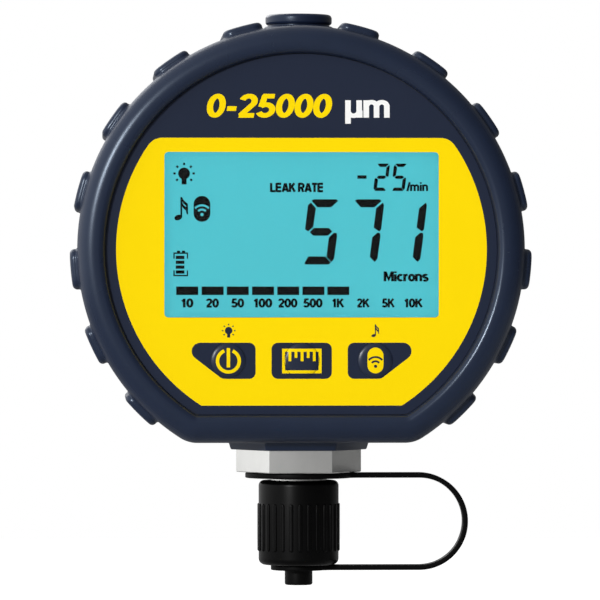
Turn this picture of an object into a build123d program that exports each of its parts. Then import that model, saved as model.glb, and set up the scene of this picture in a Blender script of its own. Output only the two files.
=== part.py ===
"""Digital vacuum gauge with a round booted case, a liquid crystal display, three keys and a flare port.

The gauge stands upright on its port, as it does when it is screwed to a manifold.
The origin is the centre of the flare nose, +Z runs up the port's axis, the display looks
towards -Y and +X is to the right of someone who reads it. All sizes are in millimetres.
"""

import os
from math import cos, radians, sin, sqrt

from build123d import *

os.makedirs("parts", exist_ok=True)

# Clearances
FIT_GAP = 0.1  # between pieces that are pushed together
SCREW_GAP = 0.05  # around a plain shank that stands for a thread
RUNNING_GAP = 0.15  # around what turns or slides

# Port: hexagon, neck, thread and flare nose, from the nose upwards
NOSE_TIP_RADIUS = 3.0
NOSE_RADIUS = 4.9
THREAD_RADIUS = 5.55
THREAD_BOTTOM = 3.2
THREAD_TOP = 12.6
SHOULDER_RADIUS = 5.8
SHOULDER_TOP = 13.25
GROOVE_RADIUS = 5.0
PORT_RADIUS = 2.4
HEX_FLATS = 22.2
HEX_BOTTOM = 14.6
HEX_TOP = 24.3
HEX_EDGE = 0.5
STEM_RADIUS = 7.9
STEM_LENGTH = 7.5  # above the hexagon
SENSOR_POCKET_RADIUS = 5.0
SENSOR_POCKET_FLOOR = 24.0
O_RING_INNER = 8.7
O_RING_WIDTH = 1.6
O_RING_DEPTH = 1.3
NUT_FLATS = 19.0
NUT_THICKNESS = 3.8

# Boot and case outline: a disc with a level flat at the port
BOOT_RADIUS = 45.3
BOOT_FLAT = 45.7  # width of the flat underside
BOOT_WALL = 3.3
BOOT_CORNER = 5.0
CASE_WALL = 2.2
BOOT_DROP = sqrt(BOOT_RADIUS**2 - (BOOT_FLAT / 2) ** 2)  # from the middle down to the flat
CASE_RADIUS = BOOT_RADIUS - BOOT_WALL - FIT_GAP
CASE_DROP = BOOT_DROP - BOOT_WALL - FIT_GAP
CASE_CORNER = BOOT_CORNER - BOOT_WALL - FIT_GAP + CASE_WALL
CENTRE_Z = HEX_TOP + CASE_DROP

# Keys
KEY_RADIUS = 3.4
KEY_PITCH = 14.85
KEY_EDGE = 0.12  # the crown's edge above the printed face
KEY_CROWN = 0.35  # the crown's bevel above that edge
KEY_BEVEL = 1.1  # width of that bevel
KEY_FLANGE_WIDTH = 1.0
KEY_FLANGE = 0.8
KEY_STEM_RADIUS = 1.7
KEY_REST_GAP = 0.5  # from the stem to the switch, a little more than the key's travel
SWITCH_SIDE = 6.0
SWITCH_HEIGHT = 3.2
SWITCH_STEM = 0.4
SWITCH_STEM_RADIUS = 1.6

# Window and display
WINDOW_WIDTH = 55.4
WINDOW_HEIGHT = 33.4
WINDOW_RISE = 3.0  # above the middle of the case
WINDOW_ROUND = 0.8
LENS_LEDGE = 1.5
LENS_THICKNESS = 1.2
OPENING_MARGIN = 0.5
GLASS_MARGIN = 2.3
LEDGE_HEIGHT = 2.3  # glass beyond the rear sheet, where the contact strips press
GLASS_SHEET = 1.1
LIGHT_THICKNESS = 3.5
STRIP_WIDTH = 1.3
FRAME_WALL = 1.1

# Depth of the case, from the front to the back
CASE_FRONT = -16.1
FACE_WALL = 2.2
FRONT_DEPTH = 5.6  # of the front shell
BOARD_THICKNESS = 1.6
COMPONENT_SPACE = 4.3
BAY_WALL = 1.2
CELL_RADIUS = 7.1
DOOR_GAP = 0.3
DOOR_PLATE = 1.3
BACK_WALL = 2.4
FACE_SHEET = 0.3
RIM_HEIGHT = 2.1  # of the boot's rims above the case
FACE_FRONT = CASE_FRONT - FACE_SHEET
FACE_INNER = CASE_FRONT + FACE_WALL
PARTING = CASE_FRONT + FRONT_DEPTH
GLASS_FRONT = FACE_INNER + FIT_GAP
BOARD_FRONT = GLASS_FRONT + 2 * GLASS_SHEET + LIGHT_THICKNESS
BOARD_BACK = BOARD_FRONT + BOARD_THICKNESS
BAY_FLOOR = BOARD_BACK + COMPONENT_SPACE + BAY_WALL
CELL_Y = BAY_FLOOR + FIT_GAP + CELL_RADIUS
CASE_BACK = CELL_Y + CELL_RADIUS + DOOR_GAP + DOOR_PLATE
BACK_INNER = CASE_BACK - BACK_WALL
BOOT_FRONT = CASE_FRONT - RIM_HEIGHT
BOOT_BACK = CASE_BACK + RIM_HEIGHT

# Rims of the boot
LIP_WIDTH = 5.7
LIP_CORNER = 3.0
RIM_OUTER_ROUND = 3.6
RIM_INNER_ROUND = 1.5
REAR_OUTER_ROUND = 2.5
REAR_INNER_EDGE = 0.6
LIP_RADIUS = BOOT_RADIUS - LIP_WIDTH
LIP_DROP = BOOT_DROP - LIP_WIDTH

# Grip lugs around the boot
LUG_COUNT = 7  # on each side
LUG_PITCH = 20.0
LUG_FIRST = 15.0  # from the top
LUG_LENGTH = 8.1
LUG_HEIGHT = 1.5
LUG_ROOT = 1.6
LUG_FRONT = BOOT_FRONT + 3.6
LUG_BACK = BOOT_BACK - 2.6
LUG_ROUND = 0.9
LUG_END_ROUND = 1.3

# Collar of the boot around the hexagon
COLLAR_WALL = 1.0
COLLAR_HEIGHT = 1.7
COLLAR_TAPER = 14.0

# Hanger boss at the top of the boot, and its plug
BOSS_RADIUS = 7.2
BOSS_RISE = 0.5
BOSS_EDGE = 0.4
PLUG_RADIUS = 6.8
PLUG_HEAD = 2.15
PLUG_EDGE = 0.35
PLUG_NECK_RADIUS = 6.3
PLUG_NECK = 0.25
PLUG_STEM_RADIUS = 3.6
PLUG_STEM = 2.6

# Battery bay, cells and door
CELL_COUNT = 3
CELL_BODY = 49.3
CELL_TIP = 1.1
CELL_TIP_RADIUS = 2.7
CELL_SPACING = 0.7
CONTACT_SPACE = 1.8
CONTACT_SHEET = 0.3
CONTACT_WIDTH = 7.0
CONTACT_FOOT = 1.6
CONTACT_REACH = 5.2  # from a leaf's middle to its end
CONTACT_PAD = 1.2
HATCH_LAP = 1.0  # the bay is this much longer than the hatch at each end
DOOR_LEDGE_X = 5.0
DOOR_LEDGE_Z = 1.5
DOOR_CORNER = 6.0
DOOR_RIB = 1.0
CELL_PITCH = 2 * CELL_RADIUS + CELL_SPACING
CELL_LENGTH = CELL_BODY + CELL_TIP
BAY_LENGTH = CELL_LENGTH + 2 * CONTACT_SPACE
BAY_HEIGHT = CELL_COUNT * CELL_PITCH + CELL_SPACING
HATCH_LENGTH = BAY_LENGTH - 2 * HATCH_LAP
HATCH_HEIGHT = BAY_HEIGHT - 2 * CELL_SPACING
DOOR_LENGTH = HATCH_LENGTH + 2 * DOOR_LEDGE_X
DOOR_HEIGHT = HATCH_HEIGHT + 2 * DOOR_LEDGE_Z

# Screws
SCREW_RADIUS = 1.25
SCREW_HEAD_RADIUS = 2.3
SCREW_HEAD = 1.6
SCREW_LENGTH = 11.0
SCREW_FLOOR = 3.0  # of the rear boss under the head
FRONT_BOSS_RADIUS = 3.0
REAR_BOSS_RADIUS = 3.9
BOSS_TO_WALL = 3.2  # from a boss's middle to the wall beside it
SCREW_TURN = 30.0  # the upper screws' angle from the top
SCREW_BOTTOM_X = 20.6
SCREW_JOINT = BAY_FLOOR - BAY_WALL  # where the two shells' bosses meet
POST_RADIUS = 2.0
POST_MARGIN = 4.1  # from the display's frame to a board post's middle
BOARD_SCREW_RADIUS = 1.0
BOARD_SCREW_LENGTH = 4.5
BOARD_SCREW_HEAD_RADIUS = 1.9
BOARD_SCREW_HEAD = 1.2
DOOR_SCREW_RADIUS = 0.9
DOOR_SCREW_HEAD_RADIUS = 1.6
DOOR_SCREW_HEAD = 0.7
DOOR_SCREW_LENGTH = 4.5
DOOR_BOSS_RADIUS = 2.2
DOOR_BOSS_DEPTH = 4.5

# Seal between the shells
SEAL_WIDTH = 0.9
SEAL_DEPTH = 0.8
SEAL_INSET = 0.65

# Circuit board and what it carries
BOARD_MARGIN = 0.5
NOTCH_GAP = 0.6
PROCESSOR_SIDE = 12.0
PROCESSOR_HEIGHT = 1.4
RADIO_WIDTH = 13.0
RADIO_HEIGHT = 17.0
RADIO_BOARD = 0.8
RADIO_CAN = 1.8
BEEPER_RADIUS = 5.0
BEEPER_HEIGHT = 3.0

# Sensor in the stem
SENSOR_RADIUS = 4.2
SENSOR_CAN = 4.6
SENSOR_FLANGE = 1.2
SENSOR_BOARD_RADIUS = 6.3
SENSOR_BOARD = 1.0
LEAD_WIDTH = 2.0
LEAD_THICKNESS = 0.8
LEAD_BEND = 2.0
PLUG_BLOCK = 2.4
PLUG_DEPTH = 2.6
PLUG_WIDTH = 5.0

# Cap and its gasket
CAP_RADIUS = 8.2
CAP_TOP = 12.9
CAP_BOTTOM = -4.4
CAP_TOP_EDGE = 0.7
CAP_BOTTOM_EDGE = 1.1
CAP_MOUTH = 0.6  # depth of the wider mouth that clears the shoulder
GRIP_RISE = 0.25
GRIP_TOP = 8.2
GRIP_BOTTOM = -1.6
GRIP_RIBS = 28
GRIP_RIB_WIDTH = 0.9
NUB_NECK_RADIUS = 2.2
NUB_RADIUS = 2.85
NUB_HEIGHT = 3.0
NUB_EDGE = 0.35
GASKET_RADIUS = 5.3
GASKET_THICKNESS = 1.0

# Tether: one moulded strap with a ring at one end and an eye at the other
TETHER_THICKNESS = 1.05
TETHER_WIDTH = 4.0
TETHER_RING_RADIUS = 10.95
TETHER_EYE_RADIUS = 5.7
TETHER_REACH = 24.7  # from the port's axis to the middle of the bend

# Places worked out from the sizes above, across the face from the case's middle
GLASS_WIDTH = WINDOW_WIDTH + 2 * GLASS_MARGIN
GLASS_HEIGHT = WINDOW_HEIGHT + 2 * GLASS_MARGIN + 1.0
REAR_GLASS_HEIGHT = GLASS_HEIGHT - 2 * LEDGE_HEIGHT
FRAME_WIDTH = GLASS_WIDTH + 2 * FIT_GAP + 2 * FRAME_WALL
FRAME_HEIGHT = GLASS_HEIGHT + 2 * FIT_GAP + 2 * FRAME_WALL
STRIP_OFFSET = GLASS_HEIGHT / 2 - STRIP_WIDTH / 2 - FIT_GAP
STRIP_LENGTH = GLASS_WIDTH - 4.0
KEY_FLANGE_RADIUS = KEY_RADIUS + KEY_FLANGE_WIDTH
KEY_DROP = FRAME_HEIGHT / 2 - WINDOW_RISE + KEY_FLANGE_RADIUS + DOOR_GAP
KEY_SPOTS = [(-KEY_PITCH, -KEY_DROP), (0.0, -KEY_DROP), (KEY_PITCH, -KEY_DROP)]
SCREW_CIRCLE = CASE_RADIUS - CASE_WALL - BOSS_TO_WALL
SCREW_TOP_X = SCREW_CIRCLE * sin(radians(SCREW_TURN))
SCREW_TOP_RISE = SCREW_CIRCLE * cos(radians(SCREW_TURN))
SCREW_BOTTOM_DROP = CASE_DROP - CASE_WALL - BOSS_TO_WALL
SCREW_SPOTS = [
    (-SCREW_TOP_X, SCREW_TOP_RISE),
    (SCREW_TOP_X, SCREW_TOP_RISE),
    (-SCREW_BOTTOM_X, -SCREW_BOTTOM_DROP),
    (SCREW_BOTTOM_X, -SCREW_BOTTOM_DROP),
]
POST_X = FRAME_WIDTH / 2 + POST_MARGIN
POST_SPOTS = [
    (-POST_X, WINDOW_RISE),
    (POST_X, WINDOW_RISE),
    (0.0, WINDOW_RISE + FRAME_HEIGHT / 2 + POST_MARGIN),
]
DOOR_SCREW_X = HATCH_LENGTH / 2 + DOOR_LEDGE_X / 2
DOOR_SCREW_SPOTS = [(-DOOR_SCREW_X, 0.0), (DOOR_SCREW_X, 0.0)]
STEM_TOP = HEX_TOP + STEM_LENGTH
NOTCH_X = NUT_FLATS / sqrt(3) + NOTCH_GAP  # from the port's axis to the board's notch
LEAD_END = NOTCH_X + PLUG_WIDTH / 2 + FIT_GAP
CASE_FLOOR = HEX_TOP + CASE_WALL
BOOT_TOP = CENTRE_Z + BOOT_RADIUS
BOOT_FLOOR = CENTRE_Z - BOOT_DROP


def upright(y, rise=0.0, x=0.0):
    """Plane at depth y that faces the reader, with its origin above or beside the case's middle."""
    return Plane(origin=(x, y, CENTRE_Z + rise), x_dir=(1, 0, 0), z_dir=(0, -1, 0))


def across(rise):
    """Level plane through a point above the case's middle, for profiles turned about a line along Y."""
    return Plane(origin=(0, 0, CENTRE_Z + rise), x_dir=(1, 0, 0), z_dir=(0, 0, 1))


def flattened_disc(radius, drop, corner):
    """Draws a disc cut off by a level chord, with its two corners rounded, in the open sketch."""
    Circle(radius)
    with Locations((0, radius - drop)):
        Rectangle(3 * radius, 2 * radius, mode=Mode.INTERSECT)
    fillet(vertices().group_by(Axis.Y)[0], corner)


def case_outline(inset=0.0):
    """Draws the case's outline, or a line inside it, in the open sketch."""
    flattened_disc(CASE_RADIUS - inset, CASE_DROP - inset, CASE_CORNER - inset)


def finish(builder, name):
    """Names a finished piece and writes it to its own file."""
    builder.part.label = name
    export_step(builder.part, f"parts/{name}.step")


# One grip lug, on its own plane: X outwards, Z towards the reader, its outer face at the origin.
# Two rounded profiles cross, so that its long edges and its ends are both rounded.
with BuildPart() as lug:
    with BuildSketch(Plane.XY.offset(-LUG_BACK)):
        Rectangle(LUG_ROOT + LUG_HEIGHT, LUG_LENGTH, align=(Align.MAX, Align.CENTER))
        fillet(vertices().group_by(Axis.X)[-1], LUG_ROUND)
    extrude(amount=LUG_BACK - LUG_FRONT)
    with BuildSketch(Plane.XZ):
        with Locations((0, -LUG_BACK)):
            Rectangle(LUG_ROOT + LUG_HEIGHT, LUG_BACK - LUG_FRONT, align=(Align.MAX, Align.MIN))
        fillet(vertices().group_by(Axis.X)[-1], LUG_END_ROUND)
    extrude(amount=LUG_LENGTH, both=True, mode=Mode.INTERSECT)

# Hanger boss, a round pad on the boot's top
with BuildPart() as hanger_boss:
    with BuildSketch(Plane.XY.offset(BOOT_TOP - BOOT_WALL / 2)):
        Circle(BOSS_RADIUS)
    extrude(amount=BOOT_WALL / 2 + BOSS_RISE)
    chamfer(faces().sort_by(Axis.Z)[-1].edges(), BOSS_EDGE)

# Boot: a rubber tyre stretched over the case, open at the front and the back
with BuildPart() as boot:
    with BuildSketch(upright(BOOT_BACK)):
        flattened_disc(BOOT_RADIUS, BOOT_DROP, BOOT_CORNER)
    extrude(amount=BOOT_BACK - BOOT_FRONT)
    fillet(edges().group_by(Axis.Y)[0], RIM_OUTER_ROUND)
    fillet(edges().group_by(Axis.Y)[-1], REAR_OUTER_ROUND)
    for first_angle, turn in ((90 - LUG_FIRST, -LUG_PITCH), (90 + LUG_FIRST, LUG_PITCH)):
        with Locations(upright(0)):
            with PolarLocations(
                radius=BOOT_RADIUS + LUG_HEIGHT,
                count=LUG_COUNT,
                start_angle=first_angle,
                angular_range=turn * (LUG_COUNT - 1),
                endpoint=True,
            ):
                add(lug.part)
    with BuildSketch(Plane.XY.offset(BOOT_FLOOR - COLLAR_HEIGHT)):
        RegularPolygon(HEX_FLATS / 2 + FIT_GAP + COLLAR_WALL, 6, major_radius=False)
    extrude(amount=COLLAR_HEIGHT + BOOT_WALL / 2, taper=-COLLAR_TAPER)
    add(hanger_boss.part)
    with Locations(Plane.XY.offset(BOOT_TOP + BOSS_RISE)):
        Hole(PLUG_STEM_RADIUS + FIT_GAP, depth=PLUG_STEM + FIT_GAP)
    with BuildSketch(upright(CASE_BACK + FIT_GAP)):
        case_outline(-FIT_GAP)
    extrude(amount=CASE_BACK - CASE_FRONT + 2 * FIT_GAP, mode=Mode.SUBTRACT)
    with BuildSketch(upright(CASE_FRONT)):
        flattened_disc(LIP_RADIUS, LIP_DROP, LIP_CORNER)
    extrude(amount=CASE_FRONT - BOOT_FRONT, mode=Mode.SUBTRACT)
    fillet(edges(Select.LAST).group_by(Axis.Y)[0], RIM_INNER_ROUND)
    with BuildSketch(upright(BOOT_BACK)):
        flattened_disc(LIP_RADIUS, LIP_DROP, LIP_CORNER)
    extrude(amount=BOOT_BACK - CASE_BACK, mode=Mode.SUBTRACT)
    chamfer(edges(Select.LAST).group_by(Axis.Y)[-1], REAR_INNER_EDGE)
    with BuildSketch(Plane.XY.offset(BOOT_FLOOR - COLLAR_HEIGHT)):
        RegularPolygon(HEX_FLATS / 2 + FIT_GAP, 6, major_radius=False)
    extrude(amount=COLLAR_HEIGHT + BOOT_WALL + FIT_GAP, mode=Mode.SUBTRACT)
finish(boot, "boot")

# Plug pressed into the hanger boss at the top
with BuildPart() as top_plug:
    with BuildSketch(Plane.XY.offset(BOOT_TOP + BOSS_RISE)):
        Circle(PLUG_NECK_RADIUS)
    extrude(amount=PLUG_NECK)
    with BuildSketch(Plane.XY.offset(BOOT_TOP + BOSS_RISE + PLUG_NECK)):
        Circle(PLUG_RADIUS)
    extrude(amount=PLUG_HEAD)
    chamfer(faces().sort_by(Axis.Z)[-1].edges(), PLUG_EDGE)
    with BuildSketch(Plane.XY.offset(BOOT_TOP + BOSS_RISE - PLUG_STEM)):
        Circle(PLUG_STEM_RADIUS)
    extrude(amount=PLUG_STEM)
finish(top_plug, "top_plug")

# Front shell: face wall with the display opening and key holes, screw bosses and board posts
with BuildPart() as front_shell:
    with BuildSketch(upright(PARTING)):
        case_outline()
    extrude(amount=FRONT_DEPTH)
    with BuildSketch(upright(PARTING)):
        case_outline(CASE_WALL)
    extrude(amount=FRONT_DEPTH - FACE_WALL, mode=Mode.SUBTRACT)
    with BuildSketch(upright(SCREW_JOINT)):
        with Locations(*SCREW_SPOTS):
            Circle(FRONT_BOSS_RADIUS)
    extrude(amount=SCREW_JOINT - FACE_INNER)
    with BuildSketch(upright(BOARD_FRONT)):
        with Locations(*POST_SPOTS):
            Circle(POST_RADIUS)
    extrude(amount=BOARD_FRONT - FACE_INNER)
    with BuildSketch(upright(CASE_FRONT, WINDOW_RISE)):
        RectangleRounded(
            WINDOW_WIDTH + 2 * OPENING_MARGIN + 2 * LENS_LEDGE,
            WINDOW_HEIGHT + 2 * OPENING_MARGIN + 2 * LENS_LEDGE,
            WINDOW_ROUND + LENS_LEDGE,
        )
    extrude(amount=-LENS_THICKNESS, mode=Mode.SUBTRACT)
    with BuildSketch(upright(FACE_INNER, WINDOW_RISE)):
        RectangleRounded(
            WINDOW_WIDTH + 2 * OPENING_MARGIN,
            WINDOW_HEIGHT + 2 * OPENING_MARGIN,
            WINDOW_ROUND,
        )
    extrude(amount=FACE_WALL, mode=Mode.SUBTRACT)
    with BuildSketch(upright(FACE_INNER)):
        with Locations(*KEY_SPOTS):
            Circle(KEY_RADIUS + RUNNING_GAP)
    extrude(amount=FACE_WALL, mode=Mode.SUBTRACT)
    with BuildSketch(upright(SCREW_JOINT)):
        with Locations(*SCREW_SPOTS):
            Circle(SCREW_RADIUS + SCREW_GAP)
    extrude(amount=SCREW_LENGTH - SCREW_FLOOR + FIT_GAP, mode=Mode.SUBTRACT)
    with BuildSketch(upright(BOARD_FRONT)):
        with Locations(*POST_SPOTS):
            Circle(BOARD_SCREW_RADIUS + SCREW_GAP)
    extrude(amount=BOARD_SCREW_LENGTH - BOARD_THICKNESS + FIT_GAP, mode=Mode.SUBTRACT)
finish(front_shell, "front_shell")

# Rear shell: deep tub with the battery bay, its hatch, the screw bosses and the hole for the port
with BuildPart() as rear_shell:
    with BuildSketch(upright(CASE_BACK)):
        case_outline()
    extrude(amount=CASE_BACK - PARTING)
    with BuildSketch(upright(BACK_INNER)):
        case_outline(CASE_WALL)
    extrude(amount=BACK_INNER - PARTING, mode=Mode.SUBTRACT)
    with BuildSketch(upright(BACK_INNER)):
        Rectangle(BAY_LENGTH + 2 * BAY_WALL, BAY_HEIGHT + 2 * BAY_WALL)
    extrude(amount=BACK_INNER - SCREW_JOINT)
    with BuildSketch(upright(BACK_INNER)):
        with Locations(*DOOR_SCREW_SPOTS):
            Circle(DOOR_BOSS_RADIUS)
    extrude(amount=DOOR_BOSS_DEPTH)
    with BuildSketch(upright(BACK_INNER)):
        with Locations(*SCREW_SPOTS):
            Circle(REAR_BOSS_RADIUS)
    extrude(amount=BACK_INNER - SCREW_JOINT)
    with BuildSketch(upright(BACK_INNER)):
        Rectangle(BAY_LENGTH, BAY_HEIGHT)
    extrude(amount=BACK_INNER - BAY_FLOOR, mode=Mode.SUBTRACT)
    with BuildSketch(upright(CASE_BACK)):
        Rectangle(HATCH_LENGTH, HATCH_HEIGHT)
    extrude(amount=BACK_WALL, mode=Mode.SUBTRACT)
    with BuildSketch(upright(CASE_BACK)):
        RectangleRounded(DOOR_LENGTH, DOOR_HEIGHT, DOOR_CORNER)
    extrude(amount=DOOR_PLATE, mode=Mode.SUBTRACT)
    with BuildSketch(upright(CASE_BACK - DOOR_PLATE)):
        with Locations(*DOOR_SCREW_SPOTS):
            Circle(DOOR_SCREW_RADIUS + SCREW_GAP)
    extrude(amount=DOOR_SCREW_LENGTH, mode=Mode.SUBTRACT)
    with BuildSketch(upright(CASE_BACK)):
        with Locations(*SCREW_SPOTS):
            Circle(SCREW_HEAD_RADIUS + RUNNING_GAP)
    extrude(amount=CASE_BACK - SCREW_JOINT - SCREW_FLOOR, mode=Mode.SUBTRACT)
    with BuildSketch(upright(CASE_BACK)):
        with Locations(*SCREW_SPOTS):
            Circle(SCREW_RADIUS + RUNNING_GAP)
    extrude(amount=CASE_BACK - SCREW_JOINT, mode=Mode.SUBTRACT)
    with BuildSketch(upright(PARTING)):
        case_outline(SEAL_INSET)
        with BuildSketch(mode=Mode.PRIVATE) as groove_core:
            case_outline(SEAL_INSET + SEAL_WIDTH)
        add(groove_core.sketch, mode=Mode.SUBTRACT)
    extrude(amount=-SEAL_DEPTH, mode=Mode.SUBTRACT)
    with BuildSketch(Plane.XY.offset(HEX_TOP)):
        Circle(STEM_RADIUS + FIT_GAP)
    extrude(amount=CASE_WALL, mode=Mode.SUBTRACT)
finish(rear_shell, "rear_shell")

# Seal cord in the rear shell's groove, pressed flat by the front shell
with BuildPart() as shell_seal:
    with BuildSketch(upright(PARTING)):
        case_outline(SEAL_INSET)
        with BuildSketch(mode=Mode.PRIVATE) as seal_core:
            case_outline(SEAL_INSET + SEAL_WIDTH)
        add(seal_core.sketch, mode=Mode.SUBTRACT)
    extrude(amount=-SEAL_DEPTH)
finish(shell_seal, "shell_seal")

# Case screws, their heads down in the rear bosses
with BuildPart() as case_screws:
    with BuildSketch(upright(SCREW_JOINT + SCREW_FLOOR)):
        with Locations(*SCREW_SPOTS):
            Circle(SCREW_RADIUS)
    extrude(amount=SCREW_LENGTH)
    with BuildSketch(upright(SCREW_JOINT + SCREW_FLOOR)):
        with Locations(*SCREW_SPOTS):
            Circle(SCREW_HEAD_RADIUS)
    extrude(amount=-SCREW_HEAD)
finish(case_screws, "case_screws")

# Battery door: a plate flush with the back, with ribs inside that find the hatch and part the cells
with BuildPart() as battery_door:
    with BuildSketch(upright(CASE_BACK)):
        RectangleRounded(DOOR_LENGTH - 2 * RUNNING_GAP, DOOR_HEIGHT - 2 * RUNNING_GAP, DOOR_CORNER)
    extrude(amount=DOOR_PLATE)
    with BuildSketch(upright(CASE_BACK - DOOR_PLATE)):
        with GridLocations(0, CELL_PITCH, 1, CELL_COUNT - 1):
            Rectangle(HATCH_LENGTH - 2 * RUNNING_GAP, DOOR_RIB)
        with GridLocations(0, HATCH_HEIGHT - DOOR_RIB - 2 * RUNNING_GAP, 1, 2):
            Rectangle(HATCH_LENGTH - 2 * RUNNING_GAP, DOOR_RIB)
    extrude(amount=BACK_WALL - DOOR_PLATE)
    with BuildSketch(upright(CASE_BACK)):
        with Locations(*DOOR_SCREW_SPOTS):
            Circle(DOOR_SCREW_RADIUS + RUNNING_GAP)
    extrude(amount=DOOR_PLATE, mode=Mode.SUBTRACT)
    with BuildSketch(upright(CASE_BACK)):
        with Locations(*DOOR_SCREW_SPOTS):
            Circle(DOOR_SCREW_HEAD_RADIUS + RUNNING_GAP)
    extrude(amount=DOOR_SCREW_HEAD, mode=Mode.SUBTRACT)
finish(battery_door, "battery_door")

with BuildPart() as battery_door_screws:
    with BuildSketch(upright(CASE_BACK - DOOR_SCREW_HEAD)):
        with Locations(*DOOR_SCREW_SPOTS):
            Circle(DOOR_SCREW_HEAD_RADIUS)
    extrude(amount=-DOOR_SCREW_HEAD)
    with BuildSketch(upright(CASE_BACK - DOOR_SCREW_HEAD)):
        with Locations(*DOOR_SCREW_SPOTS):
            Circle(DOOR_SCREW_RADIUS)
    extrude(amount=DOOR_SCREW_LENGTH)
finish(battery_door_screws, "battery_door_screws")

# Three cells side by side, each one turned end for end from the last
for index in range(CELL_COUNT):
    side = 1 if index % 2 == 0 else -1
    cell_rise = (index - (CELL_COUNT - 1) / 2) * CELL_PITCH
    cell_end = Plane(
        origin=(-side * CELL_LENGTH / 2, CELL_Y, CENTRE_Z + cell_rise),
        z_dir=(side, 0, 0),
    )
    with BuildPart() as cell:
        with BuildSketch(cell_end):
            Circle(CELL_RADIUS)
        extrude(amount=CELL_BODY)
        with BuildSketch(cell_end.offset(CELL_BODY)):
            Circle(CELL_TIP_RADIUS)
        extrude(amount=CELL_TIP)
    finish(cell, f"battery_{index + 1}")

# Leaf contacts, bent so that each one springs out from its end wall to touch a cell
with BuildPart() as battery_contacts:
    for index in range(CELL_COUNT):
        contact_z = CENTRE_Z + (index - (CELL_COUNT - 1) / 2) * CELL_PITCH
        for side in (-1, 1):
            wall_x = side * (BAY_LENGTH / 2 - CONTACT_SHEET / 2)
            touch_x = side * (CELL_LENGTH / 2 + CONTACT_SHEET / 2)
            with BuildSketch(Plane.XZ.offset(-CELL_Y)):
                with BuildLine():
                    Polyline(
                        (wall_x, contact_z - CONTACT_REACH),
                        (wall_x, contact_z - CONTACT_REACH + CONTACT_FOOT),
                        (touch_x, contact_z - CONTACT_PAD),
                        (touch_x, contact_z + CONTACT_PAD),
                        (wall_x, contact_z + CONTACT_REACH - CONTACT_FOOT),
                        (wall_x, contact_z + CONTACT_REACH),
                    )
                trace(line_width=CONTACT_SHEET)
            extrude(amount=CONTACT_WIDTH / 2, both=True)
finish(battery_contacts, "battery_contacts")

# Printed face: a thin sheet with the window and the key holes cut out
with BuildPart() as face_overlay:
    with BuildSketch(upright(CASE_FRONT)):
        flattened_disc(LIP_RADIUS - FIT_GAP, LIP_DROP - FIT_GAP, LIP_CORNER - FIT_GAP)
        with Locations((0, WINDOW_RISE)):
            RectangleRounded(WINDOW_WIDTH, WINDOW_HEIGHT, WINDOW_ROUND, mode=Mode.SUBTRACT)
        with Locations(*KEY_SPOTS):
            Circle(KEY_RADIUS + RUNNING_GAP, mode=Mode.SUBTRACT)
    extrude(amount=FACE_SHEET)
finish(face_overlay, "face_overlay")

# Clear lens, let into the front shell and held by the printed face
with BuildPart() as display_lens:
    with BuildSketch(upright(CASE_FRONT, WINDOW_RISE)):
        RectangleRounded(
            WINDOW_WIDTH + 2 * OPENING_MARGIN + 2 * LENS_LEDGE - 2 * FIT_GAP,
            WINDOW_HEIGHT + 2 * OPENING_MARGIN + 2 * LENS_LEDGE - 2 * FIT_GAP,
            WINDOW_ROUND + LENS_LEDGE - FIT_GAP,
        )
    extrude(amount=-LENS_THICKNESS)
finish(display_lens, "display_lens")

# Keys: a bevelled crown that comes through the face, a flange that holds it in, and a stem
for name, key_x in (("power_key", -KEY_PITCH), ("units_key", 0.0), ("wireless_key", KEY_PITCH)):
    crown_edge = FACE_FRONT - KEY_EDGE
    flange_front = FACE_INNER + SCREW_GAP
    stem_end = BOARD_FRONT - SWITCH_HEIGHT - SWITCH_STEM - KEY_REST_GAP
    with BuildPart() as key:
        with BuildSketch(across(-KEY_DROP)):
            with BuildLine():
                Polyline(
                    (key_x, crown_edge - KEY_CROWN),
                    (key_x + KEY_RADIUS - KEY_BEVEL, crown_edge - KEY_CROWN),
                    (key_x + KEY_RADIUS, crown_edge),
                    (key_x + KEY_RADIUS, flange_front),
                    (key_x + KEY_FLANGE_RADIUS, flange_front),
                    (key_x + KEY_FLANGE_RADIUS, flange_front + KEY_FLANGE),
                    (key_x + KEY_STEM_RADIUS, flange_front + KEY_FLANGE),
                    (key_x + KEY_STEM_RADIUS, stem_end),
                    (key_x, stem_end),
                    (key_x, crown_edge - KEY_CROWN),
                )
            make_face()
        revolve(axis=Axis((key_x, 0, CENTRE_Z - KEY_DROP), (0, 1, 0)))
    finish(key, name)

# Display: two sheets of glass, the rear one shorter to leave a contact ledge above and below
with BuildPart() as lcd_panel:
    with BuildSketch(upright(GLASS_FRONT, WINDOW_RISE)):
        Rectangle(GLASS_WIDTH, GLASS_HEIGHT)
    extrude(amount=-GLASS_SHEET)
    with BuildSketch(upright(GLASS_FRONT + GLASS_SHEET, WINDOW_RISE)):
        Rectangle(GLASS_WIDTH, REAR_GLASS_HEIGHT)
    extrude(amount=-GLASS_SHEET)
finish(lcd_panel, "lcd_panel")

with BuildPart() as backlight_panel:
    with BuildSketch(upright(BOARD_FRONT, WINDOW_RISE)):
        Rectangle(GLASS_WIDTH - 2 * FRAME_WALL, REAR_GLASS_HEIGHT - 2 * FIT_GAP)
    extrude(amount=LIGHT_THICKNESS)
finish(backlight_panel, "backlight_panel")

# Rubber strips that carry the signals from the board to the glass ledges
with BuildPart() as contact_strips:
    with BuildSketch(upright(BOARD_FRONT, WINDOW_RISE)):
        with Locations((0, STRIP_OFFSET), (0, -STRIP_OFFSET)):
            Rectangle(STRIP_LENGTH, STRIP_WIDTH)
    extrude(amount=LIGHT_THICKNESS + GLASS_SHEET)
finish(contact_strips, "contact_strips")

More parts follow.
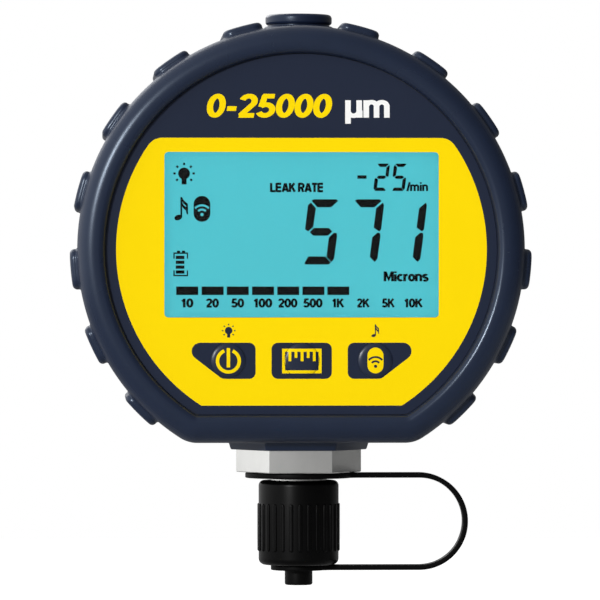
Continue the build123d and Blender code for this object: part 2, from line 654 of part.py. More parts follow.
# Frame that holds the glass, the backlight and the strips in line on the board
with BuildPart() as lcd_frame:
    with BuildSketch(upright(BOARD_FRONT, WINDOW_RISE)):
        Rectangle(FRAME_WIDTH, FRAME_HEIGHT)
        Rectangle(GLASS_WIDTH - 2 * FRAME_WALL + 2 * FIT_GAP, REAR_GLASS_HEIGHT, mode=Mode.SUBTRACT)
        with Locations((0, STRIP_OFFSET), (0, -STRIP_OFFSET)):
            Rectangle(STRIP_LENGTH + 2 * FIT_GAP, STRIP_WIDTH + FIT_GAP, mode=Mode.SUBTRACT)
    extrude(amount=BOARD_FRONT - GLASS_FRONT)
    with BuildSketch(upright(GLASS_FRONT, WINDOW_RISE)):
        Rectangle(GLASS_WIDTH + 2 * FIT_GAP, GLASS_HEIGHT + 2 * FIT_GAP)
    extrude(amount=-GLASS_SHEET, mode=Mode.SUBTRACT)
    with BuildSketch(upright(GLASS_FRONT, WINDOW_RISE)):
        Rectangle(GLASS_WIDTH + 2 * FIT_GAP, REAR_GLASS_HEIGHT + 2 * FIT_GAP)
    extrude(amount=-2 * GLASS_SHEET, mode=Mode.SUBTRACT)
finish(lcd_frame, "lcd_frame")

# Circuit board, notched around the lock nut and the case's bosses
with BuildPart() as main_board:
    with BuildSketch(upright(BOARD_FRONT)):
        case_outline(CASE_WALL + BOARD_MARGIN)
        with Locations(*SCREW_SPOTS):
            Circle(FRONT_BOSS_RADIUS + BOARD_MARGIN, mode=Mode.SUBTRACT)
        with Locations(*POST_SPOTS):
            Circle(BOARD_SCREW_RADIUS + RUNNING_GAP, mode=Mode.SUBTRACT)
        with Locations((0, -CASE_DROP)):
            Rectangle(
                2 * NOTCH_X,
                2 * (STEM_LENGTH + NOTCH_GAP),
                mode=Mode.SUBTRACT,
            )
    extrude(amount=-BOARD_THICKNESS)
finish(main_board, "main_board")

with BuildPart() as board_screws:
    with BuildSketch(upright(BOARD_BACK)):
        with Locations(*POST_SPOTS):
            Circle(BOARD_SCREW_RADIUS)
    extrude(amount=BOARD_SCREW_LENGTH)
    with BuildSketch(upright(BOARD_BACK)):
        with Locations(*POST_SPOTS):
            Circle(BOARD_SCREW_HEAD_RADIUS)
    extrude(amount=-BOARD_SCREW_HEAD)
finish(board_screws, "board_screws")

with BuildPart() as key_switches:
    with BuildSketch(upright(BOARD_FRONT)):
        with Locations(*KEY_SPOTS):
            Rectangle(SWITCH_SIDE, SWITCH_SIDE)
    extrude(amount=SWITCH_HEIGHT)
    chamfer(edges().group_by(Axis.Y)[0], 0.3)
    with BuildSketch(upright(BOARD_FRONT - SWITCH_HEIGHT)):
        with Locations(*KEY_SPOTS):
            Circle(SWITCH_STEM_RADIUS)
    extrude(amount=SWITCH_STEM)
finish(key_switches, "key_switches")

with BuildPart() as processor:
    with BuildSketch(upright(BOARD_BACK, rise=14.0, x=-16.0)):
        Rectangle(PROCESSOR_SIDE, PROCESSOR_SIDE)
    extrude(amount=-PROCESSOR_HEIGHT)
    chamfer(edges().group_by(Axis.Y)[-1], 0.4)
finish(processor, "processor")

# Radio module: its own small board with a metal can over the circuit
with BuildPart() as radio_module:
    with BuildSketch(upright(BOARD_BACK, rise=14.0, x=17.0)):
        Rectangle(RADIO_WIDTH, RADIO_HEIGHT)
    extrude(amount=-RADIO_BOARD)
    with BuildSketch(upright(BOARD_BACK + RADIO_BOARD, rise=12.0, x=17.0)):
        RectangleRounded(RADIO_WIDTH - 1.6, RADIO_HEIGHT - 5.6, 0.8)
    extrude(amount=-RADIO_CAN)
finish(radio_module, "radio_module")

with BuildPart() as beeper:
    with BuildSketch(upright(BOARD_BACK, rise=-14.0)):
        Circle(BEEPER_RADIUS)
    extrude(amount=-BEEPER_HEIGHT)
    with BuildSketch(upright(BOARD_BACK + BEEPER_HEIGHT, rise=-14.0)):
        Circle(1.0)
    extrude(amount=0.8, mode=Mode.SUBTRACT)
finish(beeper, "beeper")

# Port fitting: turned from hexagon bar, from the flare nose up to the stem inside the case
with BuildPart() as sensor_fitting:
    with BuildSketch(Plane.XZ):
        with BuildLine():
            Polyline(
                (0, 0),
                (NOSE_TIP_RADIUS, 0),
                (NOSE_RADIUS, NOSE_RADIUS - NOSE_TIP_RADIUS),
                (NOSE_RADIUS, THREAD_BOTTOM),
                (THREAD_RADIUS, THREAD_BOTTOM + THREAD_RADIUS - NOSE_RADIUS),
                (THREAD_RADIUS, THREAD_TOP),
                (SHOULDER_RADIUS, THREAD_TOP),
                (SHOULDER_RADIUS, SHOULDER_TOP),
                (GROOVE_RADIUS, SHOULDER_TOP),
                (GROOVE_RADIUS, HEX_BOTTOM + HEX_EDGE),
                (STEM_RADIUS, HEX_BOTTOM + HEX_EDGE),
                (STEM_RADIUS, STEM_TOP),
                (0, STEM_TOP),
                (0, 0),
            )
        make_face()
    revolve(axis=Axis.Z)
    with BuildSketch(Plane.XY.offset(HEX_BOTTOM)):
        RegularPolygon(HEX_FLATS / 2, 6, major_radius=False)
    extrude(amount=HEX_TOP - HEX_BOTTOM)
    with BuildSketch(Plane.XY.offset(HEX_TOP - O_RING_DEPTH)):
        Circle(O_RING_INNER + O_RING_WIDTH)
        Circle(O_RING_INNER, mode=Mode.SUBTRACT)
    extrude(amount=O_RING_DEPTH, mode=Mode.SUBTRACT)
    with BuildSketch(Plane.XY):
        Circle(PORT_RADIUS)
    extrude(amount=SENSOR_POCKET_FLOOR, mode=Mode.SUBTRACT)
    with BuildSketch(Plane.XY.offset(SENSOR_POCKET_FLOOR)):
        Circle(SENSOR_POCKET_RADIUS)
    extrude(amount=STEM_TOP - SENSOR_POCKET_FLOOR, mode=Mode.SUBTRACT)
    with BuildSketch(Plane.XY.offset(STEM_TOP - SENSOR_BOARD)):
        Circle(SENSOR_BOARD_RADIUS + FIT_GAP)
    extrude(amount=SENSOR_BOARD, mode=Mode.SUBTRACT)
finish(sensor_fitting, "sensor_fitting")

with BuildPart() as fitting_o_ring:
    with BuildSketch(Plane.XY.offset(HEX_TOP - O_RING_DEPTH)):
        Circle(O_RING_INNER + O_RING_WIDTH)
        Circle(O_RING_INNER, mode=Mode.SUBTRACT)
    extrude(amount=O_RING_DEPTH)
finish(fitting_o_ring, "fitting_o_ring")

with BuildPart() as fitting_nut:
    with BuildSketch(Plane.XY.offset(CASE_FLOOR)):
        RegularPolygon(NUT_FLATS / 2, 6, major_radius=False)
        Circle(STEM_RADIUS + SCREW_GAP, mode=Mode.SUBTRACT)
    extrude(amount=NUT_THICKNESS)
finish(fitting_nut, "fitting_nut")

# Sensor: a can open to the port, its flange seated in the stem under the small board
with BuildPart() as sensor_element:
    with BuildSketch(Plane.XY.offset(STEM_TOP - SENSOR_BOARD - SENSOR_FLANGE)):
        Circle(SENSOR_POCKET_RADIUS - SCREW_GAP)
    extrude(amount=SENSOR_FLANGE)
    with BuildSketch(Plane.XY.offset(STEM_TOP - SENSOR_BOARD - SENSOR_FLANGE)):
        Circle(SENSOR_RADIUS)
    extrude(amount=-SENSOR_CAN)
finish(sensor_element, "sensor_element")

with BuildPart() as sensor_board:
    with BuildSketch(Plane.XY.offset(STEM_TOP - SENSOR_BOARD)):
        Circle(SENSOR_BOARD_RADIUS)
    extrude(amount=SENSOR_BOARD)
finish(sensor_board, "sensor_board")

# Ribbon lead from the sensor's board to the main board, with a plug block at each end
lead_z = STEM_TOP + PLUG_DEPTH / 2
with BuildPart() as sensor_lead:
    with BuildSketch(Plane.XY.offset(lead_z)):
        with BuildLine():
            FilletPolyline(
                (PLUG_DEPTH / 2, 0),
                (LEAD_END, 0),
                (LEAD_END, BOARD_BACK + PLUG_BLOCK),
                radius=LEAD_BEND,
            )
        trace(line_width=LEAD_THICKNESS)
    extrude(amount=LEAD_WIDTH / 2, both=True)
    with Locations((0, 0, lead_z)):
        Box(PLUG_DEPTH, PLUG_WIDTH, PLUG_DEPTH)
    with Locations((LEAD_END, BOARD_BACK, lead_z)):
        Box(PLUG_WIDTH, PLUG_BLOCK, PLUG_DEPTH, align=(Align.CENTER, Align.MIN, Align.CENTER))
finish(sensor_lead, "sensor_lead")

# Dust cap: threaded bore, ribbed grip and a nub underneath that holds the tether's eye
gasket_top = -SCREW_GAP
cap_floor = gasket_top - GASKET_THICKNESS
eye_top = CAP_BOTTOM - SCREW_GAP
eye_bottom = eye_top - TETHER_THICKNESS
with BuildPart() as dust_cap:
    with BuildSketch(Plane.XY.offset(CAP_BOTTOM)):
        Circle(CAP_RADIUS)
    extrude(amount=CAP_TOP - CAP_BOTTOM)
    chamfer(faces().sort_by(Axis.Z)[-1].edges(), CAP_TOP_EDGE)
    chamfer(faces().sort_by(Axis.Z)[0].edges(), CAP_BOTTOM_EDGE)
    with BuildSketch(Plane.XY.offset(GRIP_BOTTOM)):
        with PolarLocations(CAP_RADIUS + GRIP_RISE, GRIP_RIBS):
            Rectangle(4 * GRIP_RISE, GRIP_RIB_WIDTH, align=(Align.MAX, Align.CENTER))
    extrude(amount=GRIP_TOP - GRIP_BOTTOM)
    with BuildSketch(Plane.XY.offset(CAP_BOTTOM)):
        Circle(NUB_NECK_RADIUS)
    extrude(amount=eye_bottom - SCREW_GAP - CAP_BOTTOM)
    with BuildSketch(Plane.XY.offset(eye_bottom - SCREW_GAP)):
        Circle(NUB_RADIUS)
    extrude(amount=-NUB_HEIGHT)
    chamfer(faces().sort_by(Axis.Z)[0].edges(), NUB_EDGE)
    with BuildSketch(Plane.XY.offset(cap_floor - SCREW_GAP)):
        Circle(THREAD_RADIUS + RUNNING_GAP)
    extrude(amount=CAP_TOP - cap_floor + SCREW_GAP, mode=Mode.SUBTRACT)
    with BuildSketch(Plane.XY.offset(CAP_TOP - CAP_MOUTH)):
        Circle(SHOULDER_RADIUS + RUNNING_GAP)
    extrude(amount=CAP_MOUTH, mode=Mode.SUBTRACT)
finish(dust_cap, "dust_cap")

with BuildPart() as cap_gasket:
    with BuildSketch(Plane.XY.offset(cap_floor)):
        Circle(GASKET_RADIUS)
    extrude(amount=GASKET_THICKNESS)
finish(cap_gasket, "cap_gasket")

# Tether: the ring lies in the fitting's groove, the strap bends down and back, the eye hangs on the nub
ring_top = HEX_BOTTOM - RUNNING_GAP
upper_line = ring_top - TETHER_THICKNESS / 2
lower_line = eye_top - TETHER_THICKNESS / 2
bend_radius = (upper_line - lower_line) / 2
with BuildPart() as cap_tether:
    with BuildSketch(Plane.XZ):
        with BuildLine():
            Line((0, upper_line), (TETHER_REACH, upper_line))
            ThreePointArc(
                (TETHER_REACH, upper_line),
                (TETHER_REACH + bend_radius, upper_line - bend_radius),
                (TETHER_REACH, lower_line),
            )
            Line((TETHER_REACH, lower_line), (0, lower_line))
        trace(line_width=TETHER_THICKNESS)
    extrude(amount=TETHER_WIDTH / 2, both=True)
    with BuildSketch(Plane.XY.offset(ring_top)):
        Circle(TETHER_RING_RADIUS)
    extrude(amount=-TETHER_THICKNESS)
    with BuildSketch(Plane.XY.offset(eye_top)):
        Circle(TETHER_EYE_RADIUS)
    extrude(amount=-TETHER_THICKNESS)
    with BuildSketch(Plane.XY.offset(ring_top)):
        Circle(GROOVE_RADIUS + RUNNING_GAP)
    extrude(amount=-TETHER_THICKNESS, mode=Mode.SUBTRACT)
    with BuildSketch(Plane.XY.offset(eye_top)):
        Circle(NUB_NECK_RADIUS + RUNNING_GAP)
    extrude(amount=-TETHER_THICKNESS, mode=Mode.SUBTRACT)
finish(cap_tether, "cap_tether")
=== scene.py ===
from math import acos, asin, cos, pi, radians, sin, tan

import bmesh
import bpy
from mathutils import Matrix, Vector


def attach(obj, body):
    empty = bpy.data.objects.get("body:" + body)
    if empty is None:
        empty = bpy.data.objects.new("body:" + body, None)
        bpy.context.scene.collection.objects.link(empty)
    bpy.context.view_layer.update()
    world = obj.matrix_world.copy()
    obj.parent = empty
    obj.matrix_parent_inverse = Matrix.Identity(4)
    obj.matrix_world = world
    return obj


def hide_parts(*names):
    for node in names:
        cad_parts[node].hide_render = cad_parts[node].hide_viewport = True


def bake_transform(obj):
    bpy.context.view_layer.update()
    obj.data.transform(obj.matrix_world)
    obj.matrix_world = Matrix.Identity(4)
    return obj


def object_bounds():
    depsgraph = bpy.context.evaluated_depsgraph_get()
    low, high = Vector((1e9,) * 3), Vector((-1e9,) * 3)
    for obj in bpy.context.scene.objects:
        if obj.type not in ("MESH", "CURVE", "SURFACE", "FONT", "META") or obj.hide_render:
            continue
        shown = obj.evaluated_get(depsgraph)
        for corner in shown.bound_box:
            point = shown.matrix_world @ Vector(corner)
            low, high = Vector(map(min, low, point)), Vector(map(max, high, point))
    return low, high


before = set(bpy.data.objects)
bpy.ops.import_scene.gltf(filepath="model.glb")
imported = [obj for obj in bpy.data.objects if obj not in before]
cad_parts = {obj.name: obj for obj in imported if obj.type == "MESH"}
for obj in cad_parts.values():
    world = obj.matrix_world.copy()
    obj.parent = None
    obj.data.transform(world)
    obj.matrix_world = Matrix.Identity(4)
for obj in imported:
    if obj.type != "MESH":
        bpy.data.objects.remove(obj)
cad_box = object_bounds()

# Floor, light and camera: a plain white floor and background, one large soft lamp at the upper
# left, a weak one behind, and a studio that is bright on the left and dim on the right. The floor
# lies under the cap's lowest place, and the camera stands level, about a metre in front.
MM = 0.001
CAP_TRAVEL = 8.88 * MM
FLOOR_HEIGHT = cad_box[0][2] - CAP_TRAVEL - 0.1 * MM
CAMERA_DISTANCE = 1074 * MM
CAMERA_TURN = radians(-2.2)
CAMERA_AIM = (0.287 * MM, 0.0, 49.8 * MM)
FRAME_WIDTH = 123.0 * MM


def new_material(name):
    """A material with its node tree, the tree's links and its Principled shader."""
    material = bpy.data.materials.new(name)
    material.use_nodes = True
    return material, material.node_tree, material.node_tree.nodes["Principled BSDF"]


def white_share(tree, reflected=0.12):
    """How much of the plain white a ray sees: the camera and clear pieces all of it, reflections a part."""
    path = tree.nodes.new("ShaderNodeLightPath")
    result = path.outputs["Is Camera Ray"]
    for kind, part in (("Is Transmission Ray", 1.0), ("Is Glossy Ray", reflected)):
        share = tree.nodes.new("ShaderNodeMath")
        share.operation = "MULTIPLY"
        share.inputs[1].default_value = part
        tree.links.new(path.outputs[kind], share.inputs[0])
        either = tree.nodes.new("ShaderNodeMath")
        either.operation = "MAXIMUM"
        tree.links.new(result, either.inputs[0])
        tree.links.new(share.outputs[0], either.inputs[1])
        result = either.outputs[0]
    return result


world = bpy.data.worlds.new("studio")
bpy.context.scene.world = world
world.use_nodes = True
tree = world.node_tree
tree.nodes.clear()
direction = tree.nodes.new("ShaderNodeTexCoord")
toward_light = tree.nodes.new("ShaderNodeVectorMath")
toward_light.operation = "DOT_PRODUCT"
toward_light.inputs[1].default_value = (-0.98, 0.0, 0.2)
swell = tree.nodes.new("ShaderNodeMapRange")
swell.inputs["From Min"].default_value = -1.0
swell.inputs["From Max"].default_value = 1.0
falloff = tree.nodes.new("ShaderNodeMath")
falloff.operation = "POWER"
falloff.inputs[1].default_value = 2.2
side_light = tree.nodes.new("ShaderNodeMapRange")
side_light.inputs["To Min"].default_value = 0.06
side_light.inputs["To Max"].default_value = 1.65
studio_walls = tree.nodes.new("ShaderNodeBackground")
white_sweep = tree.nodes.new("ShaderNodeBackground")
white_sweep.inputs["Color"].default_value = (1, 1, 1, 1)
choose = tree.nodes.new("ShaderNodeMixShader")
world_out = tree.nodes.new("ShaderNodeOutputWorld")
tree.links.new(direction.outputs["Generated"], toward_light.inputs[0])
tree.links.new(toward_light.outputs["Value"], swell.inputs["Value"])
tree.links.new(swell.outputs["Result"], falloff.inputs[0])
tree.links.new(falloff.outputs["Value"], side_light.inputs["Value"])
tree.links.new(side_light.outputs["Result"], studio_walls.inputs["Color"])
tree.links.new(white_share(tree), choose.inputs[0])
tree.links.new(studio_walls.outputs[0], choose.inputs[1])
tree.links.new(white_sweep.outputs[0], choose.inputs[2])
tree.links.new(choose.outputs[0], world_out.inputs["Surface"])

floor_mesh = bpy.data.meshes.new("floor")
floor_mesh.from_pydata(
    [(x, y, FLOOR_HEIGHT) for x, y in ((-0.4, -0.4), (0.4, -0.4), (0.4, 0.4), (-0.4, 0.4))], [], [(0, 1, 2, 3)]
)
floor = bpy.data.objects.new("floor", floor_mesh)
bpy.context.collection.objects.link(floor)
material, tree, shader = new_material("floor_white")
shader.inputs["Base Color"].default_value = (0.45, 0.45, 0.45, 1)
shader.inputs["Roughness"].default_value = 0.9
shader.inputs["Specular IOR Level"].default_value = 0.0
shader.inputs["Emission Color"].default_value = (1, 1, 1, 1)
lift = tree.nodes.new("ShaderNodeMath")
lift.operation = "MULTIPLY"
lift.inputs[1].default_value = 0.72
tree.links.new(white_share(tree), lift.inputs[0])
tree.links.new(lift.outputs[0], shader.inputs["Emission Strength"])
seen_from = tree.nodes.new("ShaderNodeNewGeometry")
open_below = tree.nodes.new("ShaderNodeBsdfTransparent")
one_sided = tree.nodes.new("ShaderNodeMixShader")
tree.links.new(seen_from.outputs["Backfacing"], one_sided.inputs[0])
tree.links.new(shader.outputs[0], one_sided.inputs[1])
tree.links.new(open_below.outputs[0], one_sided.inputs[2])
tree.links.new(one_sided.outputs[0], tree.nodes["Material Output"].inputs["Surface"])
floor_mesh.materials.append(material)

for name, toward, strength, width in (
    ("key_lamp", (-0.49, -0.84, 0.25), 1.9, 8.0),
    ("back_lamp", (-0.35, 0.80, 0.50), 1.0, 40.0),
):
    lamp = bpy.data.lights.new(name, "SUN")
    lamp.energy = strength
    lamp.angle = radians(width)
    lamp_object = bpy.data.objects.new(name, lamp)
    lamp_object.rotation_euler = Vector(toward).to_track_quat("Z", "Y").to_euler()
    bpy.context.collection.objects.link(lamp_object)

camera_data = bpy.data.cameras.new("camera")
camera_data.sensor_width = 36.0
camera_data.lens = 36.0 * CAMERA_DISTANCE / FRAME_WIDTH
camera_data.clip_start = 0.05
camera = bpy.data.objects.new("camera", camera_data)
camera.location = Vector(CAMERA_AIM) - CAMERA_DISTANCE * Vector((-sin(CAMERA_TURN), cos(CAMERA_TURN), 0))
camera.rotation_euler = (radians(90), 0, CAMERA_TURN)
bpy.context.collection.objects.link(camera)
bpy.context.scene.camera = camera
bpy.context.scene.view_settings.view_transform = "Standard"

# Boot: a navy rubber tyre stretched over the case, moulded in one piece with its two rims, the
# fourteen grip lugs, the hanger boss on top and the collar that grips the port's hexagon.
BOOT_MIDDLE = 60.015
BOOT_RADIUS = 45.3
BOOT_DROP = 39.115
BOOT_CORNER = 6.5
BOOT_NAVY = (0.0085, 0.0142, 0.0345)
RUBBER_SHEEN = (0.72, 0.84, 1.0, 1)
LUG_LENGTH = 8.1
LUG_HEIGHT = 1.5
LUG_FRONT, LUG_BACK = -14.6, 14.4
BOSS_TOP = 105.815
COLLAR_BOTTOM = 19.2
HEX_HALF = 11.1


def rgb(red, green, blue):
    """A colour given in the 0 to 255 numbers of a screen, as the linear values of a shader."""
    return tuple(
        v / 12.92 if v <= 0.04045 else ((v + 0.055) / 1.055) ** 2.4
        for v in (red / 255, green / 255, blue / 255)
    )


def arc(across, depth, radius, first, last, steps):
    """Points on an arc, its angles in degrees."""
    return [
        (
            across + radius * cos(radians(first + (last - first) * i / steps)),
            depth + radius * sin(radians(first + (last - first) * i / steps)),
        )
        for i in range(steps + 1)
    ]


def new_piece(name, points, faces, sharp=40):
    """A mesh object from points in millimetres, its normals outwards, shaded smooth but for sharp edges."""
    shape = bmesh.new()
    corners = [shape.verts.new(Vector(p) * MM) for p in points]
    for face in faces:
        if len(set(face)) > 2:
            shape.faces.new([corners[i] for i in face])
    bmesh.ops.remove_doubles(shape, verts=shape.verts, dist=0.0005 * MM)
    bmesh.ops.recalc_face_normals(shape, faces=shape.faces)
    mesh = bpy.data.meshes.new(name)
    shape.to_mesh(mesh)
    shape.free()
    mesh.shade_smooth()
    mesh.set_sharp_from_angle(angle=radians(sharp))
    piece = bpy.data.objects.new(name, mesh)
    bpy.context.collection.objects.link(piece)
    return piece


def skin(rows, start=0, closed=False):
    """Faces between rows of points, each row a ring; closed also joins the last row to the first."""
    count = len(rows[0])
    faces = []
    for j in range(len(rows) if closed else len(rows) - 1):
        low, high = j, (j + 1) % len(rows)
        for i in range(count):
            k = (i + 1) % count
            faces.append(
                (start + low * count + i, start + low * count + k, start + high * count + k, start + high * count + i)
            )
    return faces


def turned(name, profile, centre=(0.0, 0.0, 0.0), steps=96, facing=False, closed=True, sharp=40):
    """A piece turned about an upright line, or about a line along the depth when facing."""
    rows = []
    for radius, height in profile:
        ring = []
        for i in range(steps):
            x, y = radius * cos(2 * pi * i / steps), radius * sin(2 * pi * i / steps)
            point = (x, height, y) if facing else (x, y, height)
            ring.append(tuple(c + p for c, p in zip(centre, point)))
        rows.append(ring)
    return new_piece(name, [p for row in rows for p in row], skin(rows, closed=closed), sharp)


def join_pieces(name, pieces):
    """One object from several."""
    shape = bmesh.new()
    for piece in pieces:
        shape.from_mesh(piece.data)
        bpy.data.objects.remove(piece)
    mesh = bpy.data.meshes.new(name)
    shape.to_mesh(mesh)
    shape.free()
    mesh.set_sharp_from_angle(angle=radians(40))
    whole = bpy.data.objects.new(name, mesh)
    bpy.context.collection.objects.link(whole)
    return whole


def finish_piece(piece, material, body, slot, *nodes):
    """Gives a piece its material and its body, and hides the CAD nodes that it stands for. The slot is not used."""
    piece.data.materials.clear()
    piece.data.materials.append(material)
    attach(piece, body)
    if nodes:
        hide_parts(*nodes)


def moulded_surface():
    """Group for moulded, printed and plated skins: a fine grain, a mottle and broad rubbed areas."""
    group = bpy.data.node_groups.new("moulded_surface", "ShaderNodeTree")
    for name, value in (("Grain Scale", 3000.0), ("Mottle Scale", 90.0)):
        socket = group.interface.new_socket(name, in_out="INPUT", socket_type="NodeSocketFloat")
        socket.default_value = value
    for name in ("Grain", "Mottle", "Rub"):
        group.interface.new_socket(name, in_out="OUTPUT", socket_type="NodeSocketFloat")
    inside = group.nodes.new("NodeGroupInput")
    outside = group.nodes.new("NodeGroupOutput")
    place = group.nodes.new("ShaderNodeTexCoord")
    for name, socket, detail, roughness in (
        ("Grain", "Grain Scale", 2.0, 0.6),
        ("Mottle", "Mottle Scale", 4.0, 0.55),
    ):
        noise = group.nodes.new("ShaderNodeTexNoise")
        noise.inputs["Detail"].default_value = detail
        noise.inputs["Roughness"].default_value = roughness
        group.links.new(place.outputs["Object"], noise.inputs["Vector"])
        group.links.new(inside.outputs[socket], noise.inputs["Scale"])
        group.links.new(noise.outputs["Fac"], outside.inputs[name])
    rub = group.nodes.new("ShaderNodeTexNoise")
    rub.inputs["Scale"].default_value = 38.0
    rub.inputs["Detail"].default_value = 6.0
    rub.inputs["Distortion"].default_value = 0.6
    group.links.new(place.outputs["Object"], rub.inputs["Vector"])
    group.links.new(rub.outputs["Fac"], outside.inputs["Rub"])
    return group


SURFACE = moulded_surface()


def moulded_material(
    name, colour, roughness, grain=3000.0, mottle=90.0, depth=0.02, shade=0.12, rough_range=0.1, group=None, **constants
):
    """A material whose colour, roughness and fine relief come from the surface group."""
    material, tree, shader = new_material(name)
    surface = tree.nodes.new("ShaderNodeGroup")
    surface.node_tree = group or SURFACE
    surface.inputs[0].default_value = grain
    surface.inputs[1].default_value = mottle
    tint = tree.nodes.new("ShaderNodeMix")
    tint.data_type = "RGBA"
    tint.inputs["A"].default_value = (*[c * (1 - shade) for c in colour], 1)
    tint.inputs["B"].default_value = (*[min(1.0, c * (1 + shade)) for c in colour], 1)
    tree.links.new(surface.outputs["Mottle"], tint.inputs["Factor"])
    tree.links.new(tint.outputs["Result"], shader.inputs["Base Color"])
    polish = tree.nodes.new("ShaderNodeMapRange")
    polish.inputs["From Min"].default_value = 0.3
    polish.inputs["From Max"].default_value = 0.7
    polish.inputs["To Min"].default_value = max(0.02, roughness - rough_range / 2)
    polish.inputs["To Max"].default_value = roughness + rough_range / 2
    tree.links.new(surface.outputs["Rub"], polish.inputs["Value"])
    tree.links.new(polish.outputs["Result"], shader.inputs["Roughness"])
    relief = tree.nodes.new("ShaderNodeBump")
    relief.inputs["Strength"].default_value = 0.35
    relief.inputs["Distance"].default_value = depth * MM
    tree.links.new(surface.outputs["Grain"], relief.inputs["Height"])
    tree.links.new(relief.outputs["Normal"], shader.inputs["Normal"])
    for socket, value in constants.items():
        shader.inputs[socket.replace("_", " ")].default_value = value
    return material


def flat_bottomed_ring(radius, drop, corner, steps=180):
    """The outline of a disc with a level flat underneath and rounded corners, about its middle."""
    centre_drop = drop - corner
    centre_side = ((radius - corner) ** 2 - centre_drop**2) ** 0.5
    edge = asin(centre_side / (radius - corner))
    points = [
        (radius * sin(a), -radius * cos(a))
        for a in [edge + (2 * pi - 2 * edge) * i / steps for i in range(steps + 1)]
    ]
    for side in (-1, 1):
        turns = [edge * i / 10 for i in range(1, 11)]
        if side < 0:
            turns = [edge - t for t in turns[:-1]] + [0.0]
            points += [(-centre_side - corner * sin(t), -centre_drop - corner * cos(t)) for t in turns]
        else:
            points += [(-centre_side + 2 * centre_side * i / 12, -drop) for i in range(1, 12)]
            points += [(centre_side + corner * sin(t), -centre_drop - corner * cos(t)) for t in [0.0] + turns[:-1]]
    return points


def curve_piece(name, points, closed=True):
    """A flat poly curve that a node tree takes as its path or its section, in millimetres."""
    curve = bpy.data.curves.new(name, "CURVE")
    curve.dimensions = "3D"
    spline = curve.splines.new("POLY")
    spline.points.add(len(points) - 1)
    for point, place in zip(spline.points, points):
        point.co = (*[c * MM for c in place], 0, 1) if len(place) == 2 else (*[c * MM for c in place], 1)
    spline.use_cyclic_u = closed
    piece = bpy.data.objects.new(name, curve)
    bpy.context.collection.objects.link(piece)
    return piece


def node_piece(name, tree, values):
    """Runs a geometry tree on an empty mesh with its named inputs, and keeps the result as a plain mesh."""
    holder = bpy.data.objects.new(name, bpy.data.meshes.new(name))
    bpy.context.collection.objects.link(holder)
    modifier = holder.modifiers.new(name, "NODES")
    modifier.node_group = tree
    for item in tree.interface.items_tree:
        if item.item_type == "SOCKET" and item.in_out == "INPUT" and item.name in values:
            modifier[item.identifier] = values[item.name]
    holder.update_tag()
    bpy.context.view_layer.update()
    seen = holder.evaluated_get(bpy.context.evaluated_depsgraph_get())
    mesh = bpy.data.meshes.new_from_object(seen)
    holder.modifiers.clear()
    holder.data = mesh
    mesh.name = name
    shape = bmesh.new()
    shape.from_mesh(mesh)
    bmesh.ops.remove_doubles(shape, verts=shape.verts, dist=0.0005 * MM)
    bmesh.ops.recalc_face_normals(shape, faces=shape.faces)
    shape.to_mesh(mesh)
    shape.free()
    mesh.shade_smooth()
    mesh.set_sharp_from_angle(angle=radians(40))
    return holder


def geometry_tree(name, inputs):
    """An empty geometry tree with named inputs, its input and output nodes."""
    group = bpy.data.node_groups.new(name, "GeometryNodeTree")
    for label, kind, value in inputs:
        socket = group.interface.new_socket(label, in_out="INPUT", socket_type="NodeSocket" + kind)
        if value is not None:
            socket.default_value = value
    group.interface.new_socket("Geometry", in_out="OUTPUT", socket_type="NodeSocketGeometry")
    return group, group.nodes.new("NodeGroupInput"), group.nodes.new("NodeGroupOutput")


def math_node(group, operation, first, second):
    """A math node in a geometry tree, fed by sockets or plain numbers."""
    node = group.nodes.new("ShaderNodeMath")
    node.operation = operation
    for socket, value in zip(node.inputs, (first, second)):
        if isinstance(value, (int, float)):
            socket.default_value = value
        else:
            group.links.new(value, socket)
    return node.outputs[0]


